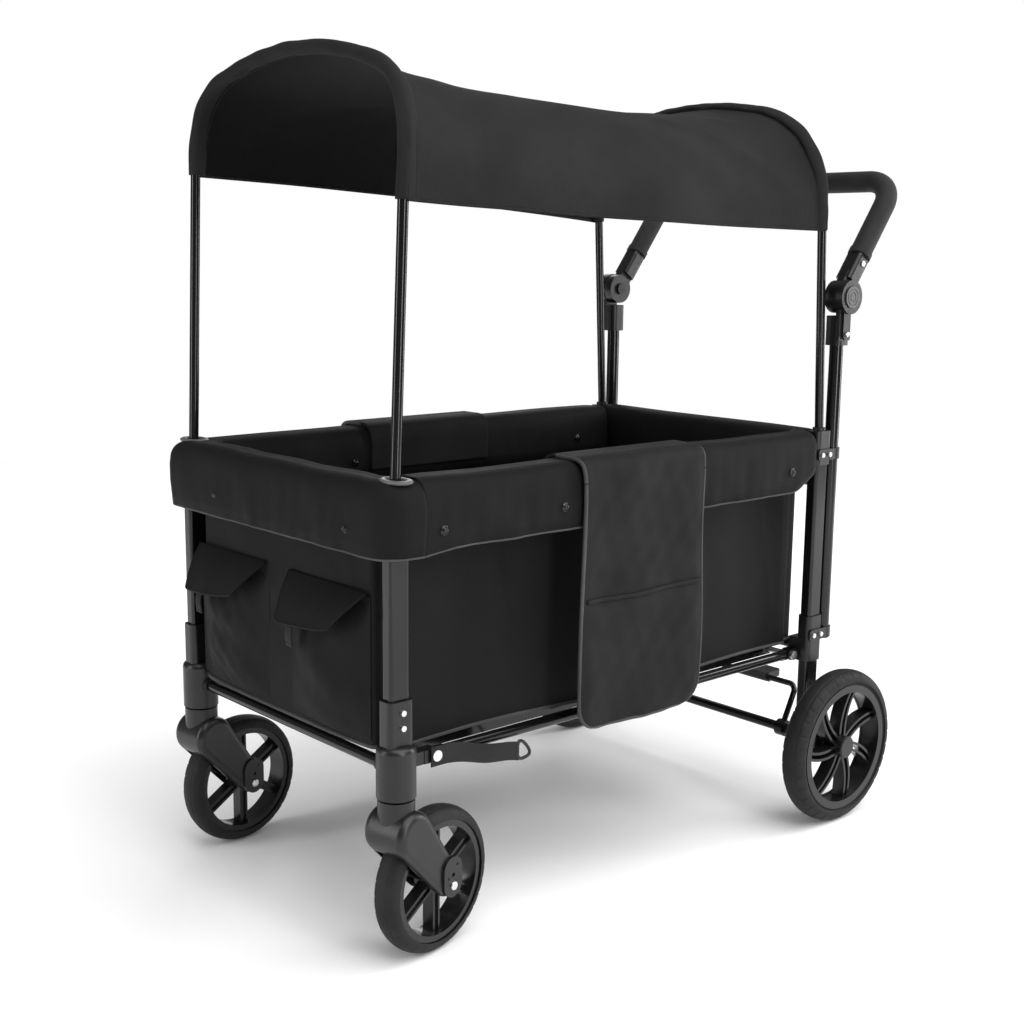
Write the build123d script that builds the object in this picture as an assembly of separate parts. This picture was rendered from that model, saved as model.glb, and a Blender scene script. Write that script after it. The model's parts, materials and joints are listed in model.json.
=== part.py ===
from build123d import *
import math
import os

# Folding push wagon for children.
# X runs from the casters (-X) to the push handle (+X), Y across, Z up from the ground.
# Lengths are in millimetres. X is measured from midway between the front and rear posts
# while modelling, and every node is shifted by CENTRE_X when it is written, so that the
# origin lies on the ground below the middle of the whole wagon.
CENTRE_X = 79.45

# ---- driving dimensions ----
POST_X = 428.5            # posts stand this far before and behind the middle
POST_Y = 248.0            # posts, rails and canopy poles stand this far from the centre plane
POST_LONG = 31.0          # post section along X
POST_WIDE = 20.0          # post section along Y
POST_WALL = 1.6
RAIL_Z = 625.0            # centre of the top rails
RIM_Z = 641.0             # top of the fabric rim
TUBE_R = 8.0              # rails, links and cross tubes

HINGE_FRONT_X = -357.0    # the two fold hinges, and the one between them
HINGE_MID_X = 20.0
HINGE_REAR_X = 397.0
LINK_Y = 230.0            # floor links run inboard of the posts
LINK_Z = 272.0
SHAFT_R = 5.0             # floor hinge shafts
PIN_R = 3.0               # rail hinge pins
RUN_FIT = 0.05            # radial clearance of a hinge pin
OPEN_FIT = 0.4            # radial clearance of the rails' middle hinge
EAR_T = 3.5               # hinge fork ears
TONGUE_T = 8.0            # hinge tongue between the ears
MID_REACH = 26.0          # middle hinge ears stand clear of the tube by this much
MID_CLEAR = 24.0          # floor rails end this far from the middle hinge, to clear each other when folded

WALL_LOW = 290.0          # fabric side walls
WALL_TOP = 602.0
END_WALL_TOP = 600.0
WALL_SPLIT_X = -116.0     # rear and front wall halves slide past each other here
COVER_LOW = 552.0         # lower edge of the rim cover
COVER_Y = 275.0
COVER_FRONT_X = -462.0
FLOOR_Y = 198.0           # half width of the floor boards and mats
SKIN = 3.0                # thickness of a soft shell

HOOP_R = 7.0              # canopy hoop tube
HOOP_FOOT_Z = 596.0
FRONT_ARCH = {"top": 1182.0, "bend": 92.0, "crown": 598.0}   # centre line: two bends under a crown arc
REAR_ARCH = {"top": 1162.5, "bend": 136.0, "crown": 676.0}
FRONT_LEAN = 2.2          # degrees, towards the middle
REAR_LEAN = 3.2
CANOPY_LOW = 968.0
CANOPY_LEFT_LOW = 1010.0  # the left front hem sits higher

CASTER_TRAIL = 69.0
SHOULDER = (3.5, 187.0, 32.0)   # X, Z and radius of the fork's rounded shoulder
BOSS = (104.0, 22.0)            # Z and radius of its rounded lower end
PLATE_R = 18.0                  # upright boss plate outside each fork arm
CASTER_YAW = {"right": 10.8, "left": 5.9}   # rest angle of each caster about +Z
FRONT_WHEEL_R = 100.0
FRONT_TYRE_W = 39.0
REAR_WHEEL_R = 127.0
REAR_TYRE_W = 42.0
REAR_WHEEL_Y = 307.5
AXLE_X = 437.0
AXLE_R = 6.0
NECK_R = 26.0
STEM_R = 8.0

COLLAR = 3.0              # wall of a bracket socket round its post
CROSS_Z = 612.0           # upper cross tubes between the brackets
CROSS_HALF = 232.0
REAR_CROSS_Z = 282.0      # lower cross tube of the rear frame

HANDLE_TUBE_X = 458.0
HANDLE_TUBE_Y = 252.0
HANDLE_TUBE_R = 11.0
HUB_X = 462.0
HUB_Z = 859.0
HUB_R = 27.0
ARM_Y = 249.0
ARM_TILT = 37.0           # degrees from vertical, leaning to the rear
ARM_LENGTH = 235.0        # hub axis to the middle of the cross bar
GRIP_R = 17.5
COLUMN_LOW = 782.0        # lower end of the hub column
COLUMN_TOP = 829.0
COLUMN_LONG = 31.0        # its length along X
TAB_Z = 800.0             # riveted tab on the column's outer face
TAB_FACE = 270.0
BUTTON_TRAVEL = 3.5

SIDES = {"right": -1.0, "left": 1.0}

nodes = {}


# ---- helpers ----
def box(x0, x1, y0, y1, z0, z1):
    """Box between two corners."""
    lo = (min(x0, x1), min(y0, y1), min(z0, z1))
    size = (abs(x1 - x0), abs(y1 - y0), abs(z1 - z0))
    return Pos(*lo) * Box(*size, align=(Align.MIN, Align.MIN, Align.MIN))


def rod(start, end, radius):
    """Solid cylinder from start to end."""
    run = Vector(*end) - Vector(*start)
    low = (Align.CENTER, Align.CENTER, Align.MIN)
    return Plane(origin=start, z_dir=run.normalized()) * Cylinder(radius, run.length, align=low)


def pipe(start, end, radius, wall=1.5):
    """Round tube with open ends."""
    return rod(start, end, radius) - rod(start, end, radius - wall)


def disc_y(x, z, y0, y1, radius):
    """Cylinder along Y between y0 and y1."""
    return rod((x, y0, z), (x, y1, z), radius)


def both_sides(solid):
    """The solid and its mirror image across the centre plane."""
    return [solid, mirror(solid, about=Plane.XZ)]


def add(name, *solids):
    """Collects the solids of one node."""
    flat = []
    for item in solids:
        for shape in item if isinstance(item, list) else [item]:
            flat.extend(shape.solids())
    nodes.setdefault(name, []).extend(flat)


def post_section(grow=0.0):
    return RectangleRounded(POST_LONG + 2 * grow, POST_WIDE + 2 * grow, 5.0 + grow)


def post_block(x, y, z0, z1, grow=0.0):
    """Upright block with the post's rounded section, grown outwards."""
    return Pos(x, y, z0) * extrude(post_section(grow), z1 - z0)


def post_tube(x, y, z0, z1):
    return post_block(x, y, z0, z1) - post_block(x, y, z0, z1, -POST_WALL)


def eye(x, y, z, thick, radius, reach, toward):
    """Hinge plate: round about the pivot, with a straight tail along X."""
    plate = disc_y(x, z, y - thick / 2, y + thick / 2, radius)
    tail = box(x, x + toward * reach, y - thick / 2, y + thick / 2, z - radius, z + radius)
    return plate + tail


def fork(x, y, z, reach, base, toward, bore, radius=TUBE_R):
    """Two ears about a pivot, joined by a base block that starts at reach."""
    full = 2 * radius
    offset = full / 2 - EAR_T / 2
    ears = eye(x, y - offset, z, EAR_T, radius, reach + base, toward)
    ears += eye(x, y + offset, z, EAR_T, radius, reach + base, toward)
    inner, outer = x + toward * reach, x + toward * (reach + base)
    ears += box(inner, outer, y - full / 2, y + full / 2, z - radius, z + radius)
    return ears - disc_y(x, z, y - full, y + full, bore)


def tongue(x, y, z, reach, toward, bore, radius=TUBE_R):
    """Hinge tongue that runs between two ears."""
    return eye(x, y, z, TONGUE_T, radius, reach, toward) - disc_y(x, z, y - 30, y + 30, bore)


def turned(profile):
    """Turns a profile (X axial, Y radial) into a body about the Y axis."""
    return Rot(0, 0, 90) * revolve(profile, Axis.X)


def ring_of(count, solid):
    """Copies of a solid evenly round the Y axis."""
    return [Rot(0, 360.0 * n / count, 0) * solid for n in range(count)]


# ---- canopy hoops ----
def arch_path(arch, offset, foot_z):
    """Arch in the YZ plane: upright legs, two bends and a crown arc, all grown outwards by offset."""
    half, top = POST_Y + offset, arch["top"] + offset
    bend, crown = arch["bend"] + offset, arch["crown"] + offset
    bend_y = half - bend
    crown_z = top - crown
    bend_z = crown_z + math.sqrt((crown - bend) ** 2 - bend_y ** 2)
    join = math.atan2(bend_z - crown_z, bend_y)
    halfway = join / 2

    def on_bend(angle, sign):
        return (0, sign * (bend_y + bend * math.cos(angle)), bend_z + bend * math.sin(angle))

    right, left = -1, 1
    return [
        Line((0, -half, foot_z), on_bend(0, right)),
        ThreePointArc(on_bend(0, right), on_bend(halfway, right), on_bend(join, right)),
        ThreePointArc(on_bend(join, right), (0, 0, top), on_bend(join, left)),
        ThreePointArc(on_bend(join, left), on_bend(halfway, left), on_bend(0, left)),
        Line(on_bend(0, left), (0, half, foot_z)),
    ]


def hoop(arch, x, lean):
    path = Wire(arch_path(arch, 0, HOOP_FOOT_Z))
    section = Plane(origin=path @ 0, z_dir=path % 0) * (Circle(HOOP_R) - Circle(HOOP_R - 1.2))
    tube = sweep(section, path=path)
    return Pos(x, 0, RIM_Z) * Rot(0, lean, 0) * Pos(0, 0, -RIM_Z) * tube


def under_arch(arch, offset, x0, x1):
    """Solid filling the space under an arch down to CANOPY_LOW."""
    curve = arch_path(arch, offset, CANOPY_LOW)
    closing = Line(curve[-1] @ 1, curve[0] @ 0)
    return Pos(x0, 0, 0) * extrude(make_face([*curve, closing]), x1 - x0, dir=(1, 0, 0))


def canopy_shell(arch, inner, outer, x0, x1):
    return under_arch(arch, outer, x0, x1) - under_arch(arch, inner, x0, x1)


FRONT_HOOP = hoop(FRONT_ARCH, -POST_X, FRONT_LEAN)
REAR_HOOP = hoop(REAR_ARCH, POST_X, -REAR_LEAN)


def build_canopy():
    add("front_canopy_hoop", FRONT_HOOP)
    add("rear_canopy_hoop", REAR_HOOP)
    front = canopy_shell(FRONT_ARCH, 9.0, 9.0 + SKIN, -424, -84)
    front -= box(-430, -80, 0, 300, 900, CANOPY_LEFT_LOW)
    rear = canopy_shell(REAR_ARCH, -8.0 - SKIN, -8.0, -86, 396)
    add("front_canopy_cover", front)
    add("rear_canopy_cover", rear)


def hoop_bore(x, lean):
    """Leaning socket bore that a hoop's foot fills, on the right-hand side."""
    bore = rod((0, -POST_Y, HOOP_FOOT_Z - RIM_Z), (0, -POST_Y, 40), HOOP_R)
    return Pos(x, 0, RIM_Z) * Rot(0, lean, 0) * bore


# ---- rear frame ----
def cross_tube(x, z, half):
    return pipe((x, -half, z), (x, half, z), TUBE_R)


def clip(z, wrap_r):
    """Outer strap that ties a handle tube to its post."""
    end_x = 409
    inner_y = POST_Y + POST_WIDE / 2 + COLLAR
    strap_mid = Pos((end_x + HANDLE_TUBE_X) / 2, -inner_y - EAR_T / 2)
    plan = strap_mid * Rectangle(HANDLE_TUBE_X - end_x, EAR_T)
    plan += Pos(HANDLE_TUBE_X, -HANDLE_TUBE_Y) * Circle(wrap_r)
    plan -= Pos(HANDLE_TUBE_X, -HANDLE_TUBE_Y) * Circle(HANDLE_TUBE_R)
    plan -= Pos(HANDLE_TUBE_X - wrap_r, -inner_y + 30) * Rectangle(10, 60)
    strap = extrude(Pos(0, 0, z - 9) * plan, 18)
    return fillet(strap.edges().filter_by(Axis.Y).group_by(Axis.X)[0], 6)


def rivet(x, z, y, head=4.2):
    """Domed rivet head whose flat side lies at y, on the right-hand side of the wagon."""
    dome = disc_y(x, z, y + 2, y - 1.2, head)
    return dome + (Pos(x, y - 1.2, z) * Sphere(head) & box(x - 9, x + 9, y - 3.0, y - 1.2, z - 9, z + 9))


def rear_upper_bracket():
    body = post_block(POST_X, -POST_Y, 590, 645, COLLAR)
    body += rod((POST_X, -POST_Y, 640), (POST_X, -POST_Y, 650), HOOP_R + 3.5)
    body += fork(HINGE_REAR_X, -POST_Y, RAIL_Z, 11, 8, 1, PIN_R + RUN_FIT)
    body += disc_y(POST_X, CROSS_Z, -CROSS_HALF - 6, -CROSS_HALF + 6, TUBE_R + 3)
    body -= post_block(POST_X, -POST_Y, 580, 614)
    body -= disc_y(POST_X, CROSS_Z, -CROSS_HALF, -200, TUBE_R)
    return body - hoop_bore(POST_X, -REAR_LEAN)


def rear_lower_bracket():
    body = post_block(POST_X, -POST_Y, 262, 338, COLLAR)
    body += box(409, 447, -LINK_Y + 8, -POST_Y, 262, 300)
    body += fork(HINGE_REAR_X, -LINK_Y, LINK_Z, 12, 6, 1, SHAFT_R + RUN_FIT, 9.0)
    body -= post_block(POST_X, -POST_Y, 260, 340)
    return body - disc_y(POST_X, REAR_CROSS_Z, -LINK_Y + 4, -200, TUBE_R)


def axle_bracket():
    body = post_block(POST_X, -POST_Y, 118, 152, COLLAR)
    body += disc_y(AXLE_X, REAR_WHEEL_R, -234, -264, 19)
    body -= disc_y(AXLE_X, REAR_WHEEL_R, -230, -270, AXLE_R)
    body -= post_block(POST_X, -POST_Y, 147, 160)
    return body


def build_rear_frame():
    add("rear_posts", both_sides(post_tube(POST_X, -POST_Y, 147, 614)))
    add("rear_upper_brackets", both_sides(rear_upper_bracket()))
    add("rear_lower_brackets", both_sides(rear_lower_bracket()))
    add("rear_axle_brackets", both_sides(axle_bracket()))
    for z in (307.0, 607.0):
        strap = clip(z, HANDLE_TUBE_R + 2.5)
        add("handle_tube_clips", both_sides(strap))
        for x in (418.0, 437.0):
            face = -POST_Y - POST_WIDE / 2 - COLLAR - EAR_T
            add("rear_fasteners", both_sides(rivet(x, z, face) & box(0, 999, -400, face, 0, 999)))
    head = rivet(HANDLE_TUBE_X + 1, TAB_Z, -TAB_FACE) & box(0, 999, -400, -TAB_FACE, 0, 999)
    add("rear_fasteners", both_sides(head))
    tube = ((HANDLE_TUBE_X, -HANDLE_TUBE_Y, 296), (HANDLE_TUBE_X, -HANDLE_TUBE_Y, 818))
    add("handle_lower_tubes", both_sides(pipe(*tube, HANDLE_TUBE_R)))
    add("rear_cross_tubes", cross_tube(POST_X, CROSS_Z, CROSS_HALF))
    add("rear_cross_tubes", cross_tube(POST_X, REAR_CROSS_Z, LINK_Y - 4))
    end_y = REAR_WHEEL_Y + 13.5
    axle = disc_y(AXLE_X, REAR_WHEEL_R, -end_y, end_y, AXLE_R)
    axle += disc_y(AXLE_X, REAR_WHEEL_R, -234, 234, AXLE_R + 2)
    add("rear_axle", axle)
    nut = disc_y(AXLE_X, REAR_WHEEL_R, -end_y, -end_y - 4, AXLE_R + 3)
    add("rear_fasteners", both_sides(nut))
    add("rear_fasteners", both_sides(hinge_pin(HINGE_REAR_X, -POST_Y, RAIL_Z)))


# ---- front frame ----
def front_upper_bracket():
    body = post_block(-POST_X, -POST_Y, 590, 636, COLLAR)
    body += box(-POST_X + 10, HINGE_FRONT_X - 11, -POST_Y - 8, -POST_Y + 8, RAIL_Z - 8, RAIL_Z + 8)
    body += fork(HINGE_FRONT_X, -POST_Y, RAIL_Z, 11, 8, -1, PIN_R + RUN_FIT)
    body += disc_y(-POST_X, CROSS_Z, -CROSS_HALF - 6, -CROSS_HALF + 6, TUBE_R + 3)
    body -= post_block(-POST_X, -POST_Y, 580, 614)
    body -= disc_y(-POST_X, CROSS_Z, -CROSS_HALF, -200, TUBE_R)
    return body - hoop_bore(-POST_X, FRONT_LEAN)


def front_corner_bracket():
    body = post_block(-POST_X, -POST_Y, 290, 365, 4.5)
    barrel = Pos(-POST_X, -POST_Y, 236) * Cylinder(NECK_R, 70, align=(Align.CENTER, Align.CENTER, Align.MIN))
    body += fillet(barrel.edges().group_by(Axis.Z)[-1], 9.0)
    body += box(-POST_X, HINGE_FRONT_X - 12, -LINK_Y + 8, -LINK_Y - 8, LINK_Z - 9, LINK_Z + 9)
    body += fork(HINGE_FRONT_X, -LINK_Y, LINK_Z, 12, 6, -1, SHAFT_R + RUN_FIT, 9.0)
    body += disc_y(-POST_X, LINK_Z, -LINK_Y, -LINK_Y + 16, TUBE_R + 3)
    body -= post_block(-POST_X, -POST_Y, 306, 370)
    body -= rod((-POST_X, -POST_Y, 235), (-POST_X, -POST_Y, 290), STEM_R + RUN_FIT)
    body -= disc_y(-POST_X, LINK_Z, -LINK_Y + 1, -LINK_Y + 20, TUBE_R)
    return body


def build_front_frame():
    add("front_posts", both_sides(post_tube(-POST_X, -POST_Y, 306, 614)))
    add("front_upper_brackets", both_sides(front_upper_bracket()))
    add("front_corner_brackets", both_sides(front_corner_bracket()))
    for z in (330.0, 350.0):
        face = -POST_Y - POST_WIDE / 2 - 4.5
        head = rivet(-POST_X, z, face) & box(-999, 0, -400, face, 0, 999)
        add("front_fasteners", both_sides(head))
    add("front_fasteners", both_sides(hinge_pin(HINGE_FRONT_X, -POST_Y, RAIL_Z)))
    add("front_cross_tubes", cross_tube(-POST_X, CROSS_Z, CROSS_HALF))
    add("front_cross_tubes", cross_tube(-POST_X, LINK_Z, LINK_Y - 1))


# ---- folding floor and top rails ----
def half_link(end_x, toward, with_fork):
    """One floor link from its end hinge to the middle hinge, on the right-hand side."""
    link = tongue(end_x, -LINK_Y, LINK_Z, 20, toward, SHAFT_R)
    start = end_x + toward * 14
    if with_fork:
        link += fork(HINGE_MID_X, -LINK_Y, LINK_Z, MID_REACH, 8, -toward, PIN_R)
        link += hinge_pin(HINGE_MID_X, -LINK_Y, LINK_Z)
        stop = HINGE_MID_X - toward * (MID_REACH + 8)
    else:
        link += tongue(HINGE_MID_X, -LINK_Y, LINK_Z, MID_REACH + 12, -toward, PIN_R + RUN_FIT)
        stop = HINGE_MID_X - toward * MID_REACH
    return link + rod((start, -LINK_Y, LINK_Z), (stop, -LINK_Y, LINK_Z), TUBE_R)


def floor_rail(end_x, toward):
    """Inner floor rail with an eye on the hinge shaft."""
    reach = abs(HINGE_MID_X - end_x) - MID_CLEAR
    rail = eye(end_x, -185.0, LINK_Z, 12, TUBE_R, reach, toward)
    return rail - disc_y(end_x, LINK_Z, -170, -200, SHAFT_R)


def floor_half(name, end_x, toward, bar_places, board):
    add(f"{name}_links", both_sides(half_link(end_x, toward, name == "rear")))
    shaft = disc_y(end_x, LINK_Z, -LINK_Y - 9.6, LINK_Y + 9.6, SHAFT_R)
    for head in both_sides(disc_y(end_x, LINK_Z, -LINK_Y - 9.6, -LINK_Y - 14, 7.5)):
        shaft += head
    add(f"{name}_floor_shaft", shaft)
    frame = Compound(both_sides(floor_rail(end_x, toward)))
    for x in bar_places:
        frame += box(x - 19, x + 19, -212, 212, LINK_Z + 8, LINK_Z + 12)
    add(f"{name}_floor_frame", frame)
    mat = box(*board, -FLOOR_Y, FLOOR_Y, LINK_Z + 12, LINK_Z + 32)
    add(f"{name}_floor_mat", fillet(mat.edges().group_by(Axis.Z)[-1], 6.0))


def build_floor():
    floor_half("rear", HINGE_REAR_X, -1, (262.0, 335.0), (24.0, 357.0))
    floor_half("front", HINGE_FRONT_X, 1, (-105.0, -300.0), (-317.0, 16.0))


def top_rail(end_x, toward, with_fork):
    """One half of a top rail on the right-hand side. The rear half carries the middle pin."""
    y = -POST_Y
    rail = tongue(end_x, y, RAIL_Z, 18, toward, PIN_R + RUN_FIT)
    start = end_x + toward * 12
    if with_fork:
        rail += fork(HINGE_MID_X, y, RAIL_Z, MID_REACH, 8, -toward, PIN_R)
        rail += hinge_pin(HINGE_MID_X, y, RAIL_Z)
        stop = HINGE_MID_X - toward * (MID_REACH + 8)
    else:
        rail += tongue(HINGE_MID_X, y, RAIL_Z, MID_REACH + 12, -toward, PIN_R + OPEN_FIT)
        stop = HINGE_MID_X - toward * MID_REACH
    return rail + rod((start, y, RAIL_Z), (stop, y, RAIL_Z), TUBE_R)


def hinge_pin(x, y, z):
    """Pin through a fork, with a head on each side."""
    pin = disc_y(x, z, y - TUBE_R, y + TUBE_R, PIN_R)
    for out in (-1, 1):
        pin += disc_y(x, z, y + out * TUBE_R, y + out * (TUBE_R + 1.6), 5.0)
    return pin


def build_rails():
    add("rear_top_rails", both_sides(top_rail(HINGE_REAR_X, -1, True)))
    add("front_top_rails", both_sides(top_rail(HINGE_FRONT_X, 1, False)))


# ---- fabric tub, rim covers and side organisers ----
def channel(x0, x1, y_in, y_out, top):
    """Inverted trough of fabric over a rail, on the right-hand side."""
    full = box(x0, x1, -y_out, -y_in, COVER_LOW, top)
    return full - box(x0, x1, -y_out + SKIN, -y_in - SKIN, COVER_LOW, top - SKIN)


def front_rim_cover():
    x0, x1 = COVER_FRONT_X, -405.0
    top = box(x0, x1, -COVER_Y, COVER_Y, RIM_Z - SKIN, RIM_Z)
    top += box(x0, x0 + SKIN, -211, 211, COVER_LOW, RIM_Z)
    top += box(x1 - SKIN, x1, -211, 211, COVER_LOW, RIM_Z)
    for sign in SIDES.values():
        top += box(x0, x0 + SKIN, sign * 222.5, sign * COVER_Y, COVER_LOW, RIM_Z)
        top += box(x0, x1, sign * (COVER_Y - SKIN), sign * COVER_Y, COVER_LOW, RIM_Z)
        top -= rod((-POST_X, sign * POST_Y, 600), (-POST_X, sign * POST_Y, 660), HOOP_R + 1.5)
    return top


def rear_rim_cover():
    cover = box(403, 454, -232, 232, COVER_LOW, RIM_Z)
    cover -= box(403 + SKIN, 454 - SKIN, -232, 232, COVER_LOW, RIM_Z - SKIN)
    return cover


def organiser():
    """Pocket panel that hangs outside and hooks over the rim to the inside."""
    x0, x1 = -142.0, 110.0
    panel = box(x0, x1, -290, -279, 264, 646)
    panel += box(x0, x1, -290, -201, 643, 646)
    return panel + box(x0, x1, -204, -201, 575, 646)


def front_wall():
    """Front wall with its two bulging pockets."""
    wall = box(-437, -434, -213, 213, WALL_LOW, END_WALL_TOP)
    for y in (-112.0, 122.0):
        pocket = box(-458, -436, y - 78, y + 78, 305, 425)
        outer_edges = pocket.edges().filter_by(Axis.Z).group_by(Axis.X)[0]
        wall += fillet(outer_edges, 14.0)
    return wall


def build_tub():
    rear_half = box(WALL_SPLIT_X - 2, 402.4, -216, -214, WALL_LOW, WALL_TOP)
    front_half = box(-404, WALL_SPLIT_X, -219.5, -217.5, WALL_LOW, WALL_TOP)
    add("rear_tub_walls", both_sides(rear_half))
    add("front_side_walls", both_sides(front_half))
    add("rear_tub_walls", box(424, 427, -213, 213, WALL_LOW + 2, END_WALL_TOP))
    add("front_wall", front_wall())
    add("front_rim_cover", front_rim_cover())
    add("rear_rim_cover", rear_rim_cover())
    add("side_rim_covers", both_sides(channel(-404.5, 402.5, 209, 274, 641)))
    add("side_organisers", both_sides(organiser()))


# ---- fold strap ----
def build_strap():
    """Webbing that hangs on the right-hand front hinge bolt, with a plastic ring at its end."""
    face = -LINK_Y - 10.0
    ring_x, ring_z = -203.0, 244.0
    outline = [(-371, 286), (-345, 286), (-214, 257), (-214, 231), (-345, 258), (-371, 258)]
    webbing = Pos(0, face, 0) * extrude(Plane.XZ * make_face(Polyline(*outline, close=True)), 2.0)
    add("fold_strap", webbing - disc_y(HINGE_FRONT_X, LINK_Z, -200, -300, 8.3))
    ring = extrude(Plane.XZ * Pos(ring_x, ring_z) * RegularPolygon(22, 3), 3.0)
    ring -= extrude(Plane.XZ * Pos(ring_x + 3, ring_z) * Circle(6.0), 3.0)
    ring &= box(-213.5, -100, -10, 10, 200, 300)
    add("fold_strap_ring", Pos(0, face, 0) * ring)


# ---- casters ----
def caster_fork():
    """Fork with its stem on the Z axis and the wheel axle at X = CASTER_TRAIL."""
    inside, outside = FRONT_TYRE_W / 2 + 3.5, FRONT_TYRE_W / 2 + 15.5
    shoulder = Pos(SHOULDER[0], SHOULDER[1]) * Circle(SHOULDER[2])
    boss = Pos(CASTER_TRAIL, BOSS[0]) * Circle(BOSS[1])
    side = make_hull([*shoulder.edges(), *boss.edges()])
    body = Pos(0, outside, 0) * extrude(Plane.XZ * side, 2 * outside)
    body = fillet(body.edges().filter_by(lambda edge: abs(edge.center().Y) > outside - 1), 11.0)
    body += rod((0, 0, 190), (0, 0, 233), NECK_R - 1.5)
    body -= disc_y(CASTER_TRAIL, FRONT_WHEEL_R, -inside, inside, FRONT_WHEEL_R + 4)
    for out in (-1, 1):
        face, high = out * (outside - 2), out * (outside + 3.5)
        plate = box(CASTER_TRAIL - PLATE_R, CASTER_TRAIL + PLATE_R, face, high, 102, 122)
        plate += disc_y(CASTER_TRAIL, 102, face, high, PLATE_R)
        plate += disc_y(CASTER_TRAIL, 122, face, high, PLATE_R)
        plate -= disc_y(CASTER_TRAIL, 115, out * (outside + 1.5), out * (outside + 5), 3.0)
        for dx, dz in ((-10, 112), (8, 128)):
            plate -= disc_y(CASTER_TRAIL + dx, dz, out * (outside + 2.5), out * (outside + 5), 2.0)
        body += plate
    body -= disc_y(CASTER_TRAIL, FRONT_WHEEL_R, -60, 60, AXLE_R - 1)
    return body + rod((0, 0, 205), (0, 0, 286), STEM_R)


def front_rim():
    """Six-spoke rim about the Y axis at the origin."""
    outer = turned(Pos(0, 77) * Rectangle(30, 6))
    outer += turned(Pos(-15, 79) * Rectangle(4, 10)) + turned(Pos(15, 79) * Rectangle(4, 10))
    hub = disc_y(0, 0, -20, 20, 15)
    web = box(-7, 7, -9, 9, 10, 76) - box(-3.5, 3.5, -10, -6, 16, 74) - box(-3.5, 3.5, 6, 10, 16, 74)
    for spoke in ring_of(6, web):
        hub += spoke
    return outer + hub - disc_y(0, 0, -40, 40, AXLE_R - 1 + RUN_FIT)


def tyre(radius, width, rim_radius, shoulder):
    """Tyre with a rounded tread and a raised bead ring."""
    tread = Pos(0, (radius + rim_radius) / 2) * Rectangle(width, radius - rim_radius)
    ring = turned(fillet(tread.vertices().group_by(Axis.Y)[-1], shoulder))
    ring += turned(Pos(0, rim_radius + 4) * Rectangle(width - 6, 8))
    return ring


def build_casters():
    for side, sign in SIDES.items():
        place = Pos(-POST_X, sign * POST_Y, 0) * Rot(0, 0, CASTER_YAW[side])
        wheel = place * Pos(CASTER_TRAIL, 0, FRONT_WHEEL_R)
        add(f"caster_fork_{side}", place * caster_fork())
        add(f"front_rim_{side}", wheel * front_rim())
        ring = tyre(FRONT_WHEEL_R, FRONT_TYRE_W, 80.0, 11.0)
        ring -= turned(Pos(0, 40) * Rectangle(34, 80)) + turned(Pos(0, 79) * Rectangle(34, 10))
        add(f"front_tyre_{side}", wheel * ring)
        bolt = disc_y(0, 0, -38, 38, AXLE_R - 1)
        for out in (-1, 1):
            bolt += disc_y(0, 0, out * 37, out * 39, AXLE_R - 1)
            head = disc_y(0, 0, out * 38.5, out * 42, 6)
            bolt += fillet(head.edges().sort_by(lambda edge: out * edge.center().Y)[-1], 2.0)
        add(f"front_axle_bolt_{side}", wheel * bolt)


# ---- rear wheels and brake ----
def rear_rim():
    """Rim with seven pairs of curved ribs, outer face towards -Y."""
    outer = turned(Pos(0, 96.5) * Rectangle(34, 7))
    outer += turned(Pos(-17, 98) * Rectangle(4, 12)) + turned(Pos(17, 98) * Rectangle(4, 12))
    band = Circle(100) - Circle(17)
    sweep_r = 110.0
    body = disc_y(0, 0, -21, 21, 18)
    for rib_x in (-6.0, 6.0):
        arc = Pos(rib_x + sweep_r, 20) * (Circle(sweep_r + 2.2) - Circle(sweep_r - 2.2))
        rib = arc & band & Pos(rib_x + 20, 60) * Rectangle(60, 90)
        solid = Pos(0, 11, 0) * extrude(Plane.XZ * rib, 22)
        for copy in ring_of(7, solid):
            body += copy
    body += outer
    return body - disc_y(0, 0, -40, 40, AXLE_R + RUN_FIT)


def build_rear_wheels():
    for side, sign in SIDES.items():
        place = Pos(AXLE_X, sign * REAR_WHEEL_Y, REAR_WHEEL_R)
        rim = rear_rim()
        ring = tyre(REAR_WHEEL_R, REAR_TYRE_W, 100.0, 13.0)
        ring -= turned(Pos(0, 50) * Rectangle(38, 100)) + turned(Pos(0, 99) * Rectangle(38, 10))
        cap = disc_y(0, 0, -13, -22, 16) - disc_y(0, 0, -12, -18.5, 11.5)
        rim -= disc_y(0, 0, -13, -30, 16)
        gear = disc_y(0, 0, 21, 26, 30)
        for tooth in ring_of(12, box(-3, 3, 22, 30, 24, 34)):
            gear -= tooth
        gear -= disc_y(0, 0, 20, 30, AXLE_R + RUN_FIT)
        for name, piece in (("rear_rim", rim + gear), ("rear_rim", cap), ("rear_tyre", ring)):
            if sign > 0:
                piece = mirror(piece, about=Plane.XZ)
            add(f"{name}_{side}", place * piece)


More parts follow.
